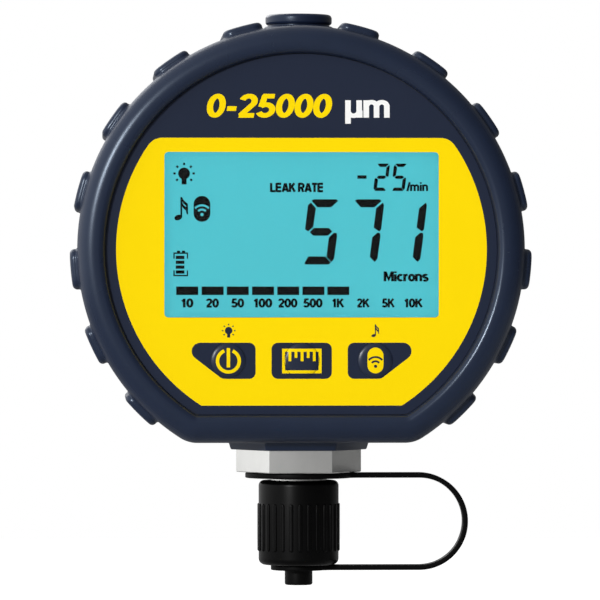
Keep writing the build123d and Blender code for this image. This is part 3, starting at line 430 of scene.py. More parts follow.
def boot_tree():
    """The boot's wall swept round the case's outline, with lugs set round it on both sides."""
    group, given, out = geometry_tree(
        "moulded_boot",
        [
            ("Outline", "Object", None),
            ("Section", "Object", None),
            ("Lug", "Object", None),
            ("Lugs a Side", "Int", 7),
            ("Lug Pitch", "Float", radians(20)),
            ("First Lug", "Float", radians(15)),
            ("Middle", "Float", BOOT_MIDDLE * MM),
            ("Rubber", "Material", None),
        ],
    )
    nodes, links = group.nodes, group.links
    taken = {}
    for label in ("Outline", "Section", "Lug"):
        taken[label] = nodes.new("GeometryNodeObjectInfo")
        links.new(given.outputs[label], taken[label].inputs["Object"])
    sweep = nodes.new("GeometryNodeCurveToMesh")
    links.new(taken["Outline"].outputs["Geometry"], sweep.inputs["Curve"])
    links.new(taken["Section"].outputs["Geometry"], sweep.inputs["Profile Curve"])
    stand = nodes.new("GeometryNodeTransform")
    stand.inputs["Rotation"].default_value = (radians(90), 0, 0)
    links.new(sweep.outputs[0], stand.inputs["Geometry"])
    row = nodes.new("GeometryNodeMeshLine")
    row.inputs["Offset"].default_value = (0, 0, 0)
    links.new(math_node(group, "MULTIPLY", given.outputs["Lugs a Side"], 2.0), row.inputs["Count"])
    index = nodes.new("GeometryNodeInputIndex").outputs[0]
    step = math_node(group, "FLOOR", math_node(group, "DIVIDE", index, 2.0), 0.0)
    side = math_node(group, "SUBTRACT", math_node(group, "MULTIPLY", math_node(group, "MODULO", index, 2.0), 2.0), 1.0)
    turn = math_node(
        group,
        "MULTIPLY",
        side,
        math_node(
            group, "ADD", given.outputs["First Lug"], math_node(group, "MULTIPLY", step, given.outputs["Lug Pitch"])
        ),
    )
    about = nodes.new("ShaderNodeCombineXYZ")
    links.new(turn, about.inputs["Y"])
    place = nodes.new("GeometryNodeInstanceOnPoints")
    links.new(row.outputs[0], place.inputs["Points"])
    links.new(taken["Lug"].outputs["Geometry"], place.inputs["Instance"])
    links.new(about.outputs[0], place.inputs["Rotation"])
    together = nodes.new("GeometryNodeJoinGeometry")
    links.new(stand.outputs[0], together.inputs[0])
    links.new(place.outputs[0], together.inputs[0])
    raise_up = nodes.new("GeometryNodeTransform")
    lift = nodes.new("ShaderNodeCombineXYZ")
    links.new(given.outputs["Middle"], lift.inputs["Z"])
    links.new(lift.outputs[0], raise_up.inputs["Translation"])
    links.new(together.outputs[0], raise_up.inputs["Geometry"])
    real = nodes.new("GeometryNodeRealizeInstances")
    links.new(raise_up.outputs[0], real.inputs[0])
    paint = nodes.new("GeometryNodeSetMaterial")
    links.new(real.outputs[0], paint.inputs["Geometry"])
    links.new(given.outputs["Rubber"], paint.inputs["Material"])
    links.new(paint.outputs[0], out.inputs[0])
    return group


def rounded_frame(half_x, half_y, corner, steps=6, side_x=4, side_y=14):
    """A rounded rectangle with the same number of points whatever its size."""
    corner = max(0.001, min(corner, half_x - 0.001, half_y - 0.001))
    points = []
    for quarter, (sx, sy) in enumerate(((1, 1), (-1, 1), (-1, -1), (1, -1))):
        points += [
            (sx * (half_x - corner) + corner * cos(a), sy * (half_y - corner) + corner * sin(a))
            for a in [pi / 2 * (quarter + i / steps) for i in range(steps + 1)]
        ]
        following = ((-1, 1), (-1, -1), (1, -1), (1, 1))[quarter]
        end = (
            following[0] * (half_x - corner) + corner * cos(pi / 2 * (quarter + 1)),
            following[1] * (half_y - corner) + corner * sin(pi / 2 * (quarter + 1)),
        )
        count = side_x if quarter % 2 == 0 else side_y
        begin = points[-1]
        points += [
            (begin[0] + (end[0] - begin[0]) * i / count, begin[1] + (end[1] - begin[1]) * i / count)
            for i in range(1, count)
        ]
    return points


def grip_lug():
    """One lug on the top of the wall, its root flared, its edges and corners rounded."""
    half_x, half_y = LUG_LENGTH / 2, (LUG_BACK - LUG_FRONT) / 2
    flare = [(-0.45, -0.25), (-0.38, 0.0), (-0.2, 0.06), (-0.07, 0.2), (0.0, 0.42)]
    crown = [(0.95 - 0.95 * cos(radians(a)), 0.55 + 0.95 * sin(radians(a))) for a in range(0, 91, 13)]
    top = [(0.95, LUG_HEIGHT), (2.0, LUG_HEIGHT), (3.1, LUG_HEIGHT), (half_x - 0.002, LUG_HEIGHT)]
    rows = []
    for inwards, height in flare + crown + top:
        ring = []
        for u, v in rounded_frame(half_x - inwards, half_y - inwards, 1.9 - inwards):
            angle = u / BOOT_RADIUS
            radius = BOOT_RADIUS + height
            ring.append((radius * sin(angle), (LUG_BACK + LUG_FRONT) / 2 + v, radius * cos(angle)))
        rows.append(ring)
    return new_piece("lug", [p for row in rows for p in row], skin(rows))


def hexagon(half, corner, steps=5):
    """A hexagon by its half width over the flats, flats to the front and back, corners rounded."""
    points = []
    for k in range(6):
        middle = radians(60 * k)
        reach = (half - corner) / cos(radians(30))
        for i in range(steps + 1):
            a = middle - radians(30) + radians(60) * i / steps
            points.append((reach * cos(middle) + corner * cos(a), reach * sin(middle) + corner * sin(a)))
    return points


boot_section = (
    arc(3.6, -14.6, 3.6, 180, 270, 14)
    + arc(4.2, -16.7, 1.5, 270, 360, 8)
    + [(5.7, -16.2), (3.3, -16.2), (3.3, 15.0), (5.7, 15.0)]
    + arc(5.1, 16.4, 0.6, 0, 90, 4)
    + arc(2.5, 14.5, 2.5, 90, 180, 9)
    + [(0, 8), (0, 0), (0, -8)]
)
boot_rubber = moulded_material(
    "boot_rubber", BOOT_NAVY, 0.265, grain=5200.0, mottle=160.0, depth=0.010, shade=0.12, rough_range=0.06,
    Specular_IOR_Level=0.4, Specular_Tint=RUBBER_SHEEN,
)
tree = boot_rubber.node_tree
shader = tree.nodes["Principled BSDF"]
facing = tree.nodes.new("ShaderNodeNewGeometry")
split = tree.nodes.new("ShaderNodeSeparateXYZ")
level = tree.nodes.new("ShaderNodeMath")
level.operation = "ABSOLUTE"
dull_wall = tree.nodes.new("ShaderNodeMapRange")
dull_wall.inputs["From Min"].default_value = 0.2
dull_wall.inputs["From Max"].default_value = 0.75
dull_wall.inputs["To Min"].default_value = 0.24
dull_wall.inputs["To Max"].default_value = 0.0
total = tree.nodes.new("ShaderNodeMath")
polish = shader.inputs["Roughness"].links[0].from_socket
tree.links.new(facing.outputs["Normal"], split.inputs[0])
tree.links.new(split.outputs["Y"], level.inputs[0])
tree.links.new(level.outputs[0], dull_wall.inputs["Value"])
tree.links.new(dull_wall.outputs["Result"], total.inputs[0])
tree.links.new(polish, total.inputs[1])
tree.links.new(total.outputs[0], shader.inputs["Roughness"])
outline = curve_piece("boot_outline", flat_bottomed_ring(BOOT_RADIUS, BOOT_DROP, BOOT_CORNER))
section = curve_piece("boot_section", [(-inset, depth) for inset, depth in boot_section])
lug = grip_lug()
wall = node_piece(
    "boot_wall",
    boot_tree(),
    {"Outline": outline, "Section": section, "Lug": lug, "Rubber": boot_rubber},
)
for helper in (outline, section, lug):
    bpy.data.objects.remove(helper)
boss = turned(
    "boss",
    [(3.7, 103.2), (7.2, 103.2)]
    + arc(6.5, BOSS_TOP - 0.7, 0.7, 0, 90, 7)
    + [(3.7, BOSS_TOP)],
)
collar_rows = []
for half, height in (
    (HEX_HALF + 0.1, 22.4),
    (HEX_HALF + 0.1, COLLAR_BOTTOM + 0.12),
    (HEX_HALF + 0.22, COLLAR_BOTTOM),
    (HEX_HALF + 0.85, COLLAR_BOTTOM),
    (HEX_HALF + 1.0, COLLAR_BOTTOM + 0.06),
    (HEX_HALF + 1.1, COLLAR_BOTTOM + 0.22),
    (HEX_HALF + 1.36, COLLAR_BOTTOM + 1.2),
    (HEX_HALF + 1.45, COLLAR_BOTTOM + 1.42),
    (HEX_HALF + 1.62, COLLAR_BOTTOM + 1.6),
    (HEX_HALF + 1.9, COLLAR_BOTTOM + 1.7),
    (HEX_HALF + 1.9, 22.4),
):
    collar_rows.append([(x, y, height) for x, y in hexagon(half, 0.12 if half < HEX_HALF + 0.5 else 0.7)])
collar = new_piece("collar", [p for row in collar_rows for p in row], skin(collar_rows, closed=True))
boot = join_pieces("boot_moulding", [wall, boss, collar])
finish_piece(boot, boot_rubber, "root", "boot_rubber", "boot")

# Top plug: a rubber button with a short neck, pushed into the boss on the boot's top.
plug_rubber = moulded_material(
    "plug_rubber", BOOT_NAVY, 0.3, grain=5200.0, mottle=200.0, depth=0.012, shade=0.08, Specular_IOR_Level=0.3,
    Specular_Tint=RUBBER_SHEEN,
)
plug = turned(
    "hanger_plug",
    [(0.0, 103.25), (3.6, 103.25), (3.6, BOSS_TOP + 0.01), (6.35, BOSS_TOP + 0.01), (6.3, BOSS_TOP + 0.14)]
    + arc(6.14, 106.72, 0.66, 285, 360, 7)
    + arc(6.0, 107.41, 0.8, 0, 90, 9)
    + [(5.3, 108.21), (5.1, 108.17), (4.7, 108.05), (4.4, 108.03), (0.0, 108.03)],
    closed=False,
)
finish_piece(plug, plug_rubber, "root", "boot_rubber", "top_plug")

# Printed face: a navy polyester sheet with a yellow field printed on it, the key surrounds and
# small symbols left open in the yellow, and a range printed in the bare place at the top.
FACE_FRONT = -16.4
ART_UNIT = 0.2018
ART_MIDDLE = 301.6
ART_TOP = 110.34
FACE_NAVY = rgb(36, 43, 62)
FACE_YELLOW = rgb(255, 219, 0)


def on_face(u, v):
    """A point of the artwork, in its own units from the sheet's top left, in millimetres on the face."""
    return ((u - ART_MIDDLE) * ART_UNIT, ART_TOP - v * ART_UNIT)


def rounded_path(corners, steps=8):
    """A closed path through corners given as (u, v, radius), each corner rounded."""
    path = []
    for k, (u, v, radius) in enumerate(corners):
        here = Vector((u, v))
        before = (Vector(corners[k - 1][:2]) - here).normalized()
        after = (Vector(corners[(k + 1) % len(corners)][:2]) - here).normalized()
        if radius == 0:
            path.append(tuple(here))
            continue
        half = acos(max(-1.0, min(1.0, before.dot(after)))) / 2
        centre = here + (before + after).normalized() * radius / sin(half)
        first = here + before * radius / tan(half) - centre
        last = here + after * radius / tan(half) - centre
        sweep = first.angle_signed(last)
        for i in range(steps + 1):
            turned_by = -sweep * i / steps
            path.append(
                (
                    centre.x + first.x * cos(turned_by) - first.y * sin(turned_by),
                    centre.y + first.x * sin(turned_by) + first.y * cos(turned_by),
                )
            )
    return path


def box_path(left, right, top, bottom, radius=0.0):
    """A closed rectangular path."""
    return rounded_path([(left, top, radius), (right, top, radius), (right, bottom, radius), (left, bottom, radius)])


def oval_path(u, v, across, up, tilt=0.0, steps=28):
    """A closed oval path by its half sizes, tilted by degrees."""
    c, s = cos(radians(tilt)), sin(radians(tilt))
    return [
        (
            u + across * cos(2 * pi * i / steps) * c + up * sin(2 * pi * i / steps) * s,
            v - across * cos(2 * pi * i / steps) * s + up * sin(2 * pi * i / steps) * c,
        )
        for i in range(steps)
    ]


def bar_path(first, last, width):
    """A closed straight stroke between two points."""
    a, b = Vector(first), Vector(last)
    side = (b - a).normalized().orthogonal() * width / 2
    return [tuple(a + side), tuple(b + side), tuple(b - side), tuple(a - side)]


def arc_band(u, v, inner, outer, first, last, steps=24):
    """A closed band between two arcs, its angles in degrees, anticlockwise from the right."""
    angles = [radians(first + (last - first) * i / steps) for i in range(steps + 1)]
    return [(u + outer * cos(a), v - outer * sin(a)) for a in angles] + [
        (u + inner * cos(a), v - inner * sin(a)) for a in reversed(angles)
    ]


def bulb_shapes(u, v, size):
    """A lamp sign: a round bulb on its neck with seven rays."""
    rays = [
        bar_path(
            (u + 1.42 * size * cos(radians(a)), v - 1.42 * size * sin(radians(a))),
            (u + 1.82 * size * cos(radians(a)), v - 1.82 * size * sin(radians(a))),
            0.34 * size,
        )
        for a in (-42, 0, 45, 90, 135, 180, 222)
    ]
    neck = [(a, b, 1) for a, b in box_path(u - 0.42 * size, u + 0.42 * size, v, v + 1.85 * size)]
    return [oval_path(u, v, size, size), neck] + rays


def note_shapes(u, v, size):
    """A note sign: a tilted head, its stem and two flags. The place given is the stem's foot."""
    shapes = [
        oval_path(u - 0.2 * size, v, 0.25 * size, 0.17 * size, tilt=20, steps=20),
        [(a, b, 1) for a, b in box_path(u - 0.06 * size, u + 0.05 * size, v - 1.28 * size, v)],
    ]
    for top in (-1.28, -0.98):
        flag = [(0.04, top), (0.14, top + 0.2), (0.4, top + 0.42), (0.42, top + 0.78)]
        inner = [(0.04, top + 0.27), (0.12, top + 0.4), (0.28, top + 0.54), (0.33, top + 0.78)]
        for (a, b), (c, d) in zip(zip(flag, inner), list(zip(flag, inner))[1:]):
            shapes.append([(u + x * size, v + y * size, 2) for x, y in (a, c, d, b)])
    return shapes


def wave_shapes(u, v, size):
    """A wireless sign: a dot with two arcs above it."""
    shapes = [oval_path(u, v, 0.17 * size, 0.17 * size, steps=16)]
    for reach in (0.52, 0.96):
        line = [(u + reach * size * cos(radians(a)), v - reach * size * sin(radians(a))) for a in range(42, 139, 8)]
        shapes += stroke_shapes(line, 0.2 * size)
    return shapes


def stroke_shapes(line, width):
    """A thick line along the points given, as one four-sided shape for each step."""
    line = [Vector(p) for p in line]
    ring = (line[0] - line[-1]).length < 1e-4
    sides = []
    for k, here in enumerate(line):
        before = (here - line[k - 1]).normalized() if k else None
        after = (line[k + 1] - here).normalized() if k + 1 < len(line) else None
        if ring and k == 0:
            before = (here - line[-2]).normalized()
        elif ring and after is None:
            after = (line[1] - here).normalized()
        along = (before + after).normalized() if before and after else before or after
        reach = width / 2 / max(0.5, along.dot(after or before))
        across = Vector((-along.y, along.x)) * reach
        sides.append((tuple(here + across), tuple(here - across)))
    return [[a, c, d, b] for (a, b), (c, d) in zip(sides, sides[1:])]


def ink(name, shapes, place, depth, thickness=0.012, bend=None, within=None):
    """Printed or formed shapes as thin solids facing the front. A third number in a point lifts it a hair
    over the strokes that it crosses. With bend they lie on a domed surface, and within keeps the part of
    them whose distance from a centre is between two radii."""
    shape = bmesh.new()
    for outline in shapes:
        corners = []
        for u, v, *layer in outline:
            x, z = place(u, v)
            corners.append(shape.verts.new((x, -0.003 * sum(layer), z)))
        shape.faces.new(corners)
    bmesh.ops.remove_doubles(shape, verts=shape.verts, dist=0.002)
    cuts = []
    if bend:
        xs, zs = [v.co.x for v in shape.verts], [v.co.z for v in shape.verts]
        cuts += [((min(xs) + 0.3 * i, 0, 0), (1, 0, 0)) for i in range(1, int((max(xs) - min(xs)) / 0.3) + 1)]
        cuts += [((0, 0, min(zs) + 0.3 * i), (0, 0, 1)) for i in range(1, int((max(zs) - min(zs)) / 0.3) + 1)]
    if within:
        x, z, low, high = within
        for radius in (low, high):
            for i in range(60 if 0 < radius < 50 else 0):
                way = (cos(2 * pi * i / 60), 0, sin(2 * pi * i / 60))
                cuts.append(((x + radius * way[0], 0, z + radius * way[2]), way))
    for point, normal in cuts:
        everything = list(shape.verts) + list(shape.edges) + list(shape.faces)
        bmesh.ops.bisect_plane(shape, geom=everything, plane_co=point, plane_no=normal)
    if within:
        outside = []
        for face in shape.faces:
            middle = face.calc_center_median()
            if not low < ((middle.x - x) ** 2 + (middle.z - z) ** 2) ** 0.5 < high:
                outside.append(face)
        bmesh.ops.delete(shape, geom=outside, context="FACES")
    grown = bmesh.ops.extrude_face_region(shape, geom=list(shape.faces))
    front = {v for v in grown["geom"] if isinstance(v, bmesh.types.BMVert)}
    for vertex in shape.verts:
        level = bend(vertex.co.x, vertex.co.z) if bend else depth
        vertex.co.y += level - (thickness if vertex in front else 0.0)
    bmesh.ops.scale(shape, vec=(MM, MM, MM), verts=shape.verts)
    bmesh.ops.recalc_face_normals(shape, faces=shape.faces)
    mesh = bpy.data.meshes.new(name)
    shape.to_mesh(mesh)
    shape.free()
    piece = bpy.data.objects.new(name, mesh)
    bpy.context.collection.objects.link(piece)
    return piece


def bow(x, y, across, up, first, last):
    """The middle line of a letter's curve, its angles in degrees."""
    steps = max(4, int(abs(last - first) / 12))
    return [
        (x + across * cos(radians(first + (last - first) * i / steps)), y + up * sin(radians(first + (last - first) * i / steps)))
        for i in range(steps + 1)
    ]


LETTERS = {
    " ": (0.25, []),
    "-": (0.42, [[(0.06, 0.38), (0.36, 0.38)]]),
    "/": (0.32, [[(0.04, -0.02), (0.28, 1.02)]]),
    "0": (0.6, [bow(0.3, 0.5, 0.2, 0.41, 0, 360)]),
    "1": (0.5, [[(0.32, 0), (0.32, 1)], [(0.1, 0.72), (0.25, 0.78), (0.32, 0.93)]]),
    "2": (0.6, [bow(0.29, 0.69, 0.2, 0.22, 165, -35) + [(0.1, 0.09)], [(0.05, 0.09), (0.54, 0.09)]]),
    "5": (0.6, [[(0.51, 0.91), (0.13, 0.91)], [(0.2, 0.95), (0.13, 0.45)], bow(0.28, 0.32, 0.22, 0.23, 140, -155)]),
    "A": (0.78, [[(0.1, 0), (0.37, 0.97)], [(0.41, 0.97), (0.68, 0)], [(0.2, 0.27), (0.58, 0.27)]]),
    "E": (0.68, [[(0.12, 0), (0.12, 1)]] + [[(0.12, y), (0.62, y)] for y in (0.09, 0.52, 0.91)]),
    "K": (0.74, [[(0.12, 0), (0.12, 1)], [(0.6, 0.98), (0.18, 0.44)], [(0.32, 0.6), (0.64, 0.02)]]),
    "L": (0.6, [[(0.12, 0), (0.12, 1)], [(0.12, 0.09), (0.58, 0.09)]]),
    "M": (0.88, [[(0.12, 0), (0.12, 1)], [(0.17, 0.95), (0.44, 0.2), (0.71, 0.95)], [(0.76, 0), (0.76, 1)]]),
    "R": (
        0.72,
        [[(0.12, 0), (0.12, 1)], [(0.12, 0.91), (0.38, 0.91)] + bow(0.38, 0.69, 0.22, 0.22, 80, -90) + [(0.12, 0.47)],
         [(0.4, 0.45), (0.58, 0.0)]],
    ),
    "T": (0.62, [[(0.31, 0), (0.31, 1)], [(0.02, 0.91), (0.6, 0.91)]]),
    "c": (0.54, [bow(0.29, 0.37, 0.2, 0.28, 48, 312)]),
    "i": (0.26, [[(0.12, 0), (0.12, 0.72)], [(0.12, 0.84), (0.12, 1.0)]]),
    "m": (
        0.94,
        [[(0.1, 0), (0.1, 0.74)], [(0.45, 0)] + bow(0.28, 0.48, 0.17, 0.18, 0, 165), [(0.8, 0)] + bow(0.63, 0.48, 0.17, 0.18, 0, 165)],
    ),
    "n": (0.6, [[(0.1, 0), (0.1, 0.74)], [(0.48, 0)] + bow(0.29, 0.47, 0.19, 0.19, 0, 165)]),
    "o": (0.6, [bow(0.3, 0.37, 0.2, 0.28, 0, 360)]),
    "r": (0.4, [[(0.1, 0), (0.1, 0.74)], bow(0.36, 0.42, 0.26, 0.24, 90, 160)]),
    "s": (0.52, [bow(0.26, 0.52, 0.16, 0.14, 30, 260) + bow(0.26, 0.22, 0.17, 0.15, 80, -150)]),
    "µ": (0.62, [[(0.1, -0.26), (0.1, 0.74)], bow(0.29, 0.29, 0.19, 0.21, 195, 360) + [(0.48, 0.74)], [(0.5, 0.3), (0.5, 0)]]),
}


def word_shapes(text, left, right, top, bottom, weight=0.2, slant=0.0):
    """A word in plain bold letters, its capitals fitted into a box of the artwork."""
    total = sum(LETTERS[letter][0] for letter in text)
    wide, tall = (right - left) / total, bottom - top
    shapes, start = [], 0.0
    for letter in text:
        for layer, line in enumerate(LETTERS[letter][1]):
            for part in stroke_shapes(line, weight):
                shapes.append([(left + (start + x) * wide + y * tall * slant, bottom - y * tall, layer) for x, y in part])
        start += LETTERS[letter][0]
    return shapes


def flat_print(name, paths, place, depth, thickness=0.012, rounding=0.0):
    """A flat plate or printed layer facing the front, inner paths left open, its edges rounded if asked."""
    curve = bpy.data.curves.new(name, "CURVE")
    curve.dimensions = "2D"
    curve.fill_mode = "BOTH"
    curve.extrude = thickness / 2 - rounding
    curve.bevel_depth = rounding
    for path in paths:
        spline = curve.splines.new("POLY")
        spline.points.add(len(path) - 1)
        for point, (u, v) in zip(spline.points, path):
            x, z = place(u, v)
            point.co = (x, z, 0, 1)
        spline.use_cyclic_u = True
    holder = bpy.data.objects.new(name, curve)
    bpy.context.collection.objects.link(holder)
    mesh = bpy.data.meshes.new_from_object(holder.evaluated_get(bpy.context.evaluated_depsgraph_get()))
    bpy.data.objects.remove(holder)
    mesh.transform(Matrix(((1, 0, 0, 0), (0, 0, -1, depth), (0, 1, 0, 0), (0, 0, 0, 1))))
    mesh.transform(Matrix.Scale(MM, 4))
    shape = bmesh.new()
    shape.from_mesh(mesh)
    bmesh.ops.remove_doubles(shape, verts=shape.verts, dist=0.0002 * MM)
    bmesh.ops.recalc_face_normals(shape, faces=shape.faces)
    shape.to_mesh(mesh)
    shape.free()
    mesh.shade_smooth()
    mesh.set_sharp_from_angle(angle=radians(30))
    piece = bpy.data.objects.new(name, mesh)
    bpy.context.collection.objects.link(piece)
    return piece


KEY_SURROUNDS = {
    "left": [(175.1, 342.7, 8.5), (255.5, 342.7, 6.5), (255.5, 378.9, 6.5), (222.0, 378.9, 9.0)],
    "middle": [(271.4, 342.7, 6.5), (331.8, 342.7, 6.5), (331.8, 378.9, 6.5), (271.4, 378.9, 6.5)],
}
KEY_SURROUNDS["right"] = [(2 * ART_MIDDLE - u, v, r) for u, v, r in reversed(KEY_SURROUNDS["left"])]
field_radius = 37.45 / ART_UNIT
field_v = 249.5
top_v, bottom_v = 137.8, 405.6
top_u = (field_radius**2 - (field_v - top_v) ** 2) ** 0.5
bottom_u = (field_radius**2 - (bottom_v - field_v) ** 2) ** 0.5
top_angle = asin((field_v - top_v) / field_radius)
bottom_angle = asin((bottom_v - field_v) / field_radius)
right_side = [
    (ART_MIDDLE + field_radius * cos(a), field_v - field_radius * sin(a))
    for a in [top_angle - 0.075 - (top_angle - 0.075 + bottom_angle) * i / 70 for i in range(71)]
]
field_corner = rounded_path(
    [
        (ART_MIDDLE + top_u - 40, top_v, 0),
        (ART_MIDDLE + top_u, top_v, 17.0),
        (right_side[0][0], right_side[0][1], 0),
    ]
)[1:-1]
right_side = field_corner + right_side
yellow_field = right_side + [(2 * ART_MIDDLE - u, v) for u, v in reversed(right_side)]
face_print = flat_print(
    "face_yellow_print",
    [yellow_field, box_path(164.3, 438.9, 152.0, 317.5, 4.0)]
    + [rounded_path(surround) for surround in KEY_SURROUNDS.values()],
    on_face,
    FACE_FRONT - 0.006,
)
sheet_navy = moulded_material(
    "sheet_navy", (0.0105, 0.0168, 0.038), 0.42, grain=7000.0, mottle=120.0, depth=0.005, shade=0.05,
    rough_range=0.08, Specular_IOR_Level=0.16,
)
sheet_yellow = moulded_material(
    "sheet_yellow", FACE_YELLOW, 0.45, grain=7000.0, mottle=120.0, depth=0.005, shade=0.02, rough_range=0.08,
    Specular_IOR_Level=0.06,
)
sheet_white = moulded_material(
    "sheet_white", rgb(248, 248, 246), 0.45, grain=7000.0, mottle=120.0, depth=0.005, shade=0.02,
    Specular_IOR_Level=0.1,
)
PRINT_DEPTH = FACE_FRONT - 0.001
finish_piece(face_print, sheet_yellow, "root", "face_print")
face_signs = ink("face_signs", bulb_shapes(228.5, 330.6, 3.75) + note_shapes(375.4, 335.6, 8.8), on_face, PRINT_DEPTH - 0.012)
finish_piece(face_signs, sheet_navy, "root", "face_print")
range_print = ink(
    "face_range_print", word_shapes("0-25000", 205, 330, 94.0, 117.5, 0.2, slant=0.16), on_face, PRINT_DEPTH
)
finish_piece(range_print, sheet_yellow, "root", "face_print")
unit_print = ink("face_unit_print", word_shapes("µm", 345, 391, 94.0, 117.5, 0.19), on_face, PRINT_DEPTH)
finish_piece(unit_print, sheet_white, "root", "face_print")


def dress_nodes(material, *names):
    """Gives CAD nodes that stay as they are a material of their own."""
    for name in names:
        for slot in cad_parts[name].material_slots:
            slot.link = "OBJECT"
            slot.material = material


dress_nodes(sheet_navy, "face_overlay")

# Keys: three navy rubber domes that come up through the printed face, each with its sign
# printed on the dome in the face's yellow. The middle sign runs on over the sheet beside it.
KEY_SPOTS = {"power_key": (-14.85, "power_button"), "units_key": (0.0, "units_button"), "wireless_key": (14.85, "wireless_button")}
KEY_HEIGHT = 37.6
KEY_RADIUS = 3.5
KEY_DEPTH = -16.5
KEY_CROWN = 0.34
key_rubber = moulded_material(
    "key_rubber", (0.0105, 0.0168, 0.038), 0.3, grain=5200.0, mottle=200.0, depth=0.006, shade=0.06,
    Specular_IOR_Level=0.3,
)


def dome_depth(radius):
    """Depth of a key's face at a radius from its middle: a flat crown with a rolled shoulder."""
    reach = min(1.0, radius / KEY_RADIUS)
    return KEY_DEPTH - KEY_CROWN * (1 - 0.3 * reach**2 - 0.7 * reach**9)


def on_key(key_x):
    """The printed layer's depth at a place of the key whose middle is at key_x."""
    return lambda x, z: dome_depth(((x - key_x) ** 2 + (z - KEY_HEIGHT) ** 2) ** 0.5) - 0.004


for name, (key_x, body) in KEY_SPOTS.items():
    crown = [(KEY_RADIUS * r, dome_depth(KEY_RADIUS * r)) for r in (0, 0.15, 0.3, 0.45, 0.6, 0.7, 0.78, 0.84, 0.89, 0.93, 0.96, 0.98, 1)]
    key = turned(
        name + "_dome",
        crown
        + [(KEY_RADIUS, -13.85), (KEY_RADIUS + 0.9, -13.85), (KEY_RADIUS + 0.9, -13.05), (1.7, -13.05), (1.7, -12.2), (0.0, -12.2)],
        centre=(key_x, 0.0, KEY_HEIGHT),
        steps=96,
        facing=True,
        closed=False,
    )
    finish_piece(key, key_rubber, body, "key_rubber", name)

ring = [(228.2 + 10.9 * cos(radians(a)), 361.0 - 10.9 * sin(radians(a))) for a in range(112, 429, 7)]
power_sign = ink(
    "power_sign", stroke_shapes(ring, 3.4) + [box_path(226.5, 229.9, 348.0, 367.4)], on_face, 0.0, bend=on_key(-14.85)
)
finish_piece(power_sign, sheet_yellow, "power_button", "face_print")
wireless_sign = ink(
    "wireless_sign", [box_path(367.4, 383.4, 347.6, 373.4, 7.9)], on_face, 0.0, bend=on_key(14.85)
)
finish_piece(wireless_sign, sheet_yellow, "wireless_button", "face_print")
wireless_waves = ink(
    "wireless_waves", wave_shapes(375.4, 366.3, 9.6), on_face, 0.0, thickness=0.03, bend=on_key(14.85)
)
finish_piece(wireless_waves, key_rubber, "wireless_button", "face_print")
ruler = [
    box_path(282.0, 321.5, 348.7, 351.7),
    box_path(282.0, 321.5, 370.4, 373.4),
    box_path(282.0, 285.0, 351.7, 370.4),
    box_path(318.5, 321.5, 351.7, 370.4),
] + [
    box_path(u - 1.4, u + 1.4, 351.7, 361.2 if i % 2 == 0 else 357.9)
    for i, u in enumerate((289.7, 295.8, 301.9, 308.0, 314.1))
]
units_sign = ink("units_sign", ruler, on_face, 0.0, bend=on_key(0.0), within=(0.0, KEY_HEIGHT, 0.0, KEY_RADIUS - 0.01))
finish_piece(units_sign, sheet_yellow, "units_button", "face_print")
units_sign_sheet = ink("units_sign_sheet", ruler, on_face, PRINT_DEPTH, within=(0.0, KEY_HEIGHT, KEY_RADIUS + 0.06, 99.0))
finish_piece(units_sign_sheet, sheet_yellow, "root", "face_print")

# Display: a backlit liquid crystal panel behind a clear acrylic lens. Its dark segments, signs
# and scale lie just in front of the panel's glass.
LCD_FRONT = -13.8
LCD_UNIT = 0.20237
LCD_MIDDLE = 301.2
LCD_TOP = 110.51
LCD_BLUE = rgb(74, 192, 204)


def on_display(u, v):
    """A point of the display's artwork, in millimetres on the panel."""
    return ((u - LCD_MIDDLE) * LCD_UNIT, LCD_TOP - v * LCD_UNIT)


SEGMENTS = {
    "a": [(7.1, 63.8), (9.3, 65.2), (32.1, 65.2), (33.9, 63.6), (26.8, 57.2), (13.2, 57.2)],
    "b": [(35.3, 62.0), (36.4, 59.3), (33.5, 35.2), (31.4, 33.1), (26.0, 37.0), (28.5, 56.3)],
    "c": [(32.5, 31.3), (32.8, 28.1), (29.8, 5.7), (27.1, 2.5), (22.1, 7.5), (24.5, 27.2), (29.8, 32.0)],
    "d": [(0.0, 1.3), (3.9, 8.1), (20.9, 8.1), (26.6, 2.2), (24.5, 0.0), (1.2, 0.0)],
    "e": [(3.4, 31.2), (8.4, 27.0), (6.0, 8.8), (-0.6, 2.6), (-2.6, 5.8), (0.2, 29.0)],
    "f": [(6.6, 62.0), (11.6, 56.3), (8.9, 37.5), (3.9, 33.1), (0.7, 35.2), (3.6, 59.3)],
    "g": [(5.3, 32.4), (9.6, 36.6), (24.5, 36.6), (28.0, 33.1), (23.6, 28.8), (8.9, 28.8)],
}
LIT = {"1": "bc", "2": "abged", "5": "afgcd", "7": "abc"}


def figure_shapes(figure, left, baseline, scale=1.0):
    """The lit segments of a leaning seven-segment figure."""
    return [[(left + x * scale, baseline - y * scale) for x, y in SEGMENTS[name]] for name in LIT[figure]]


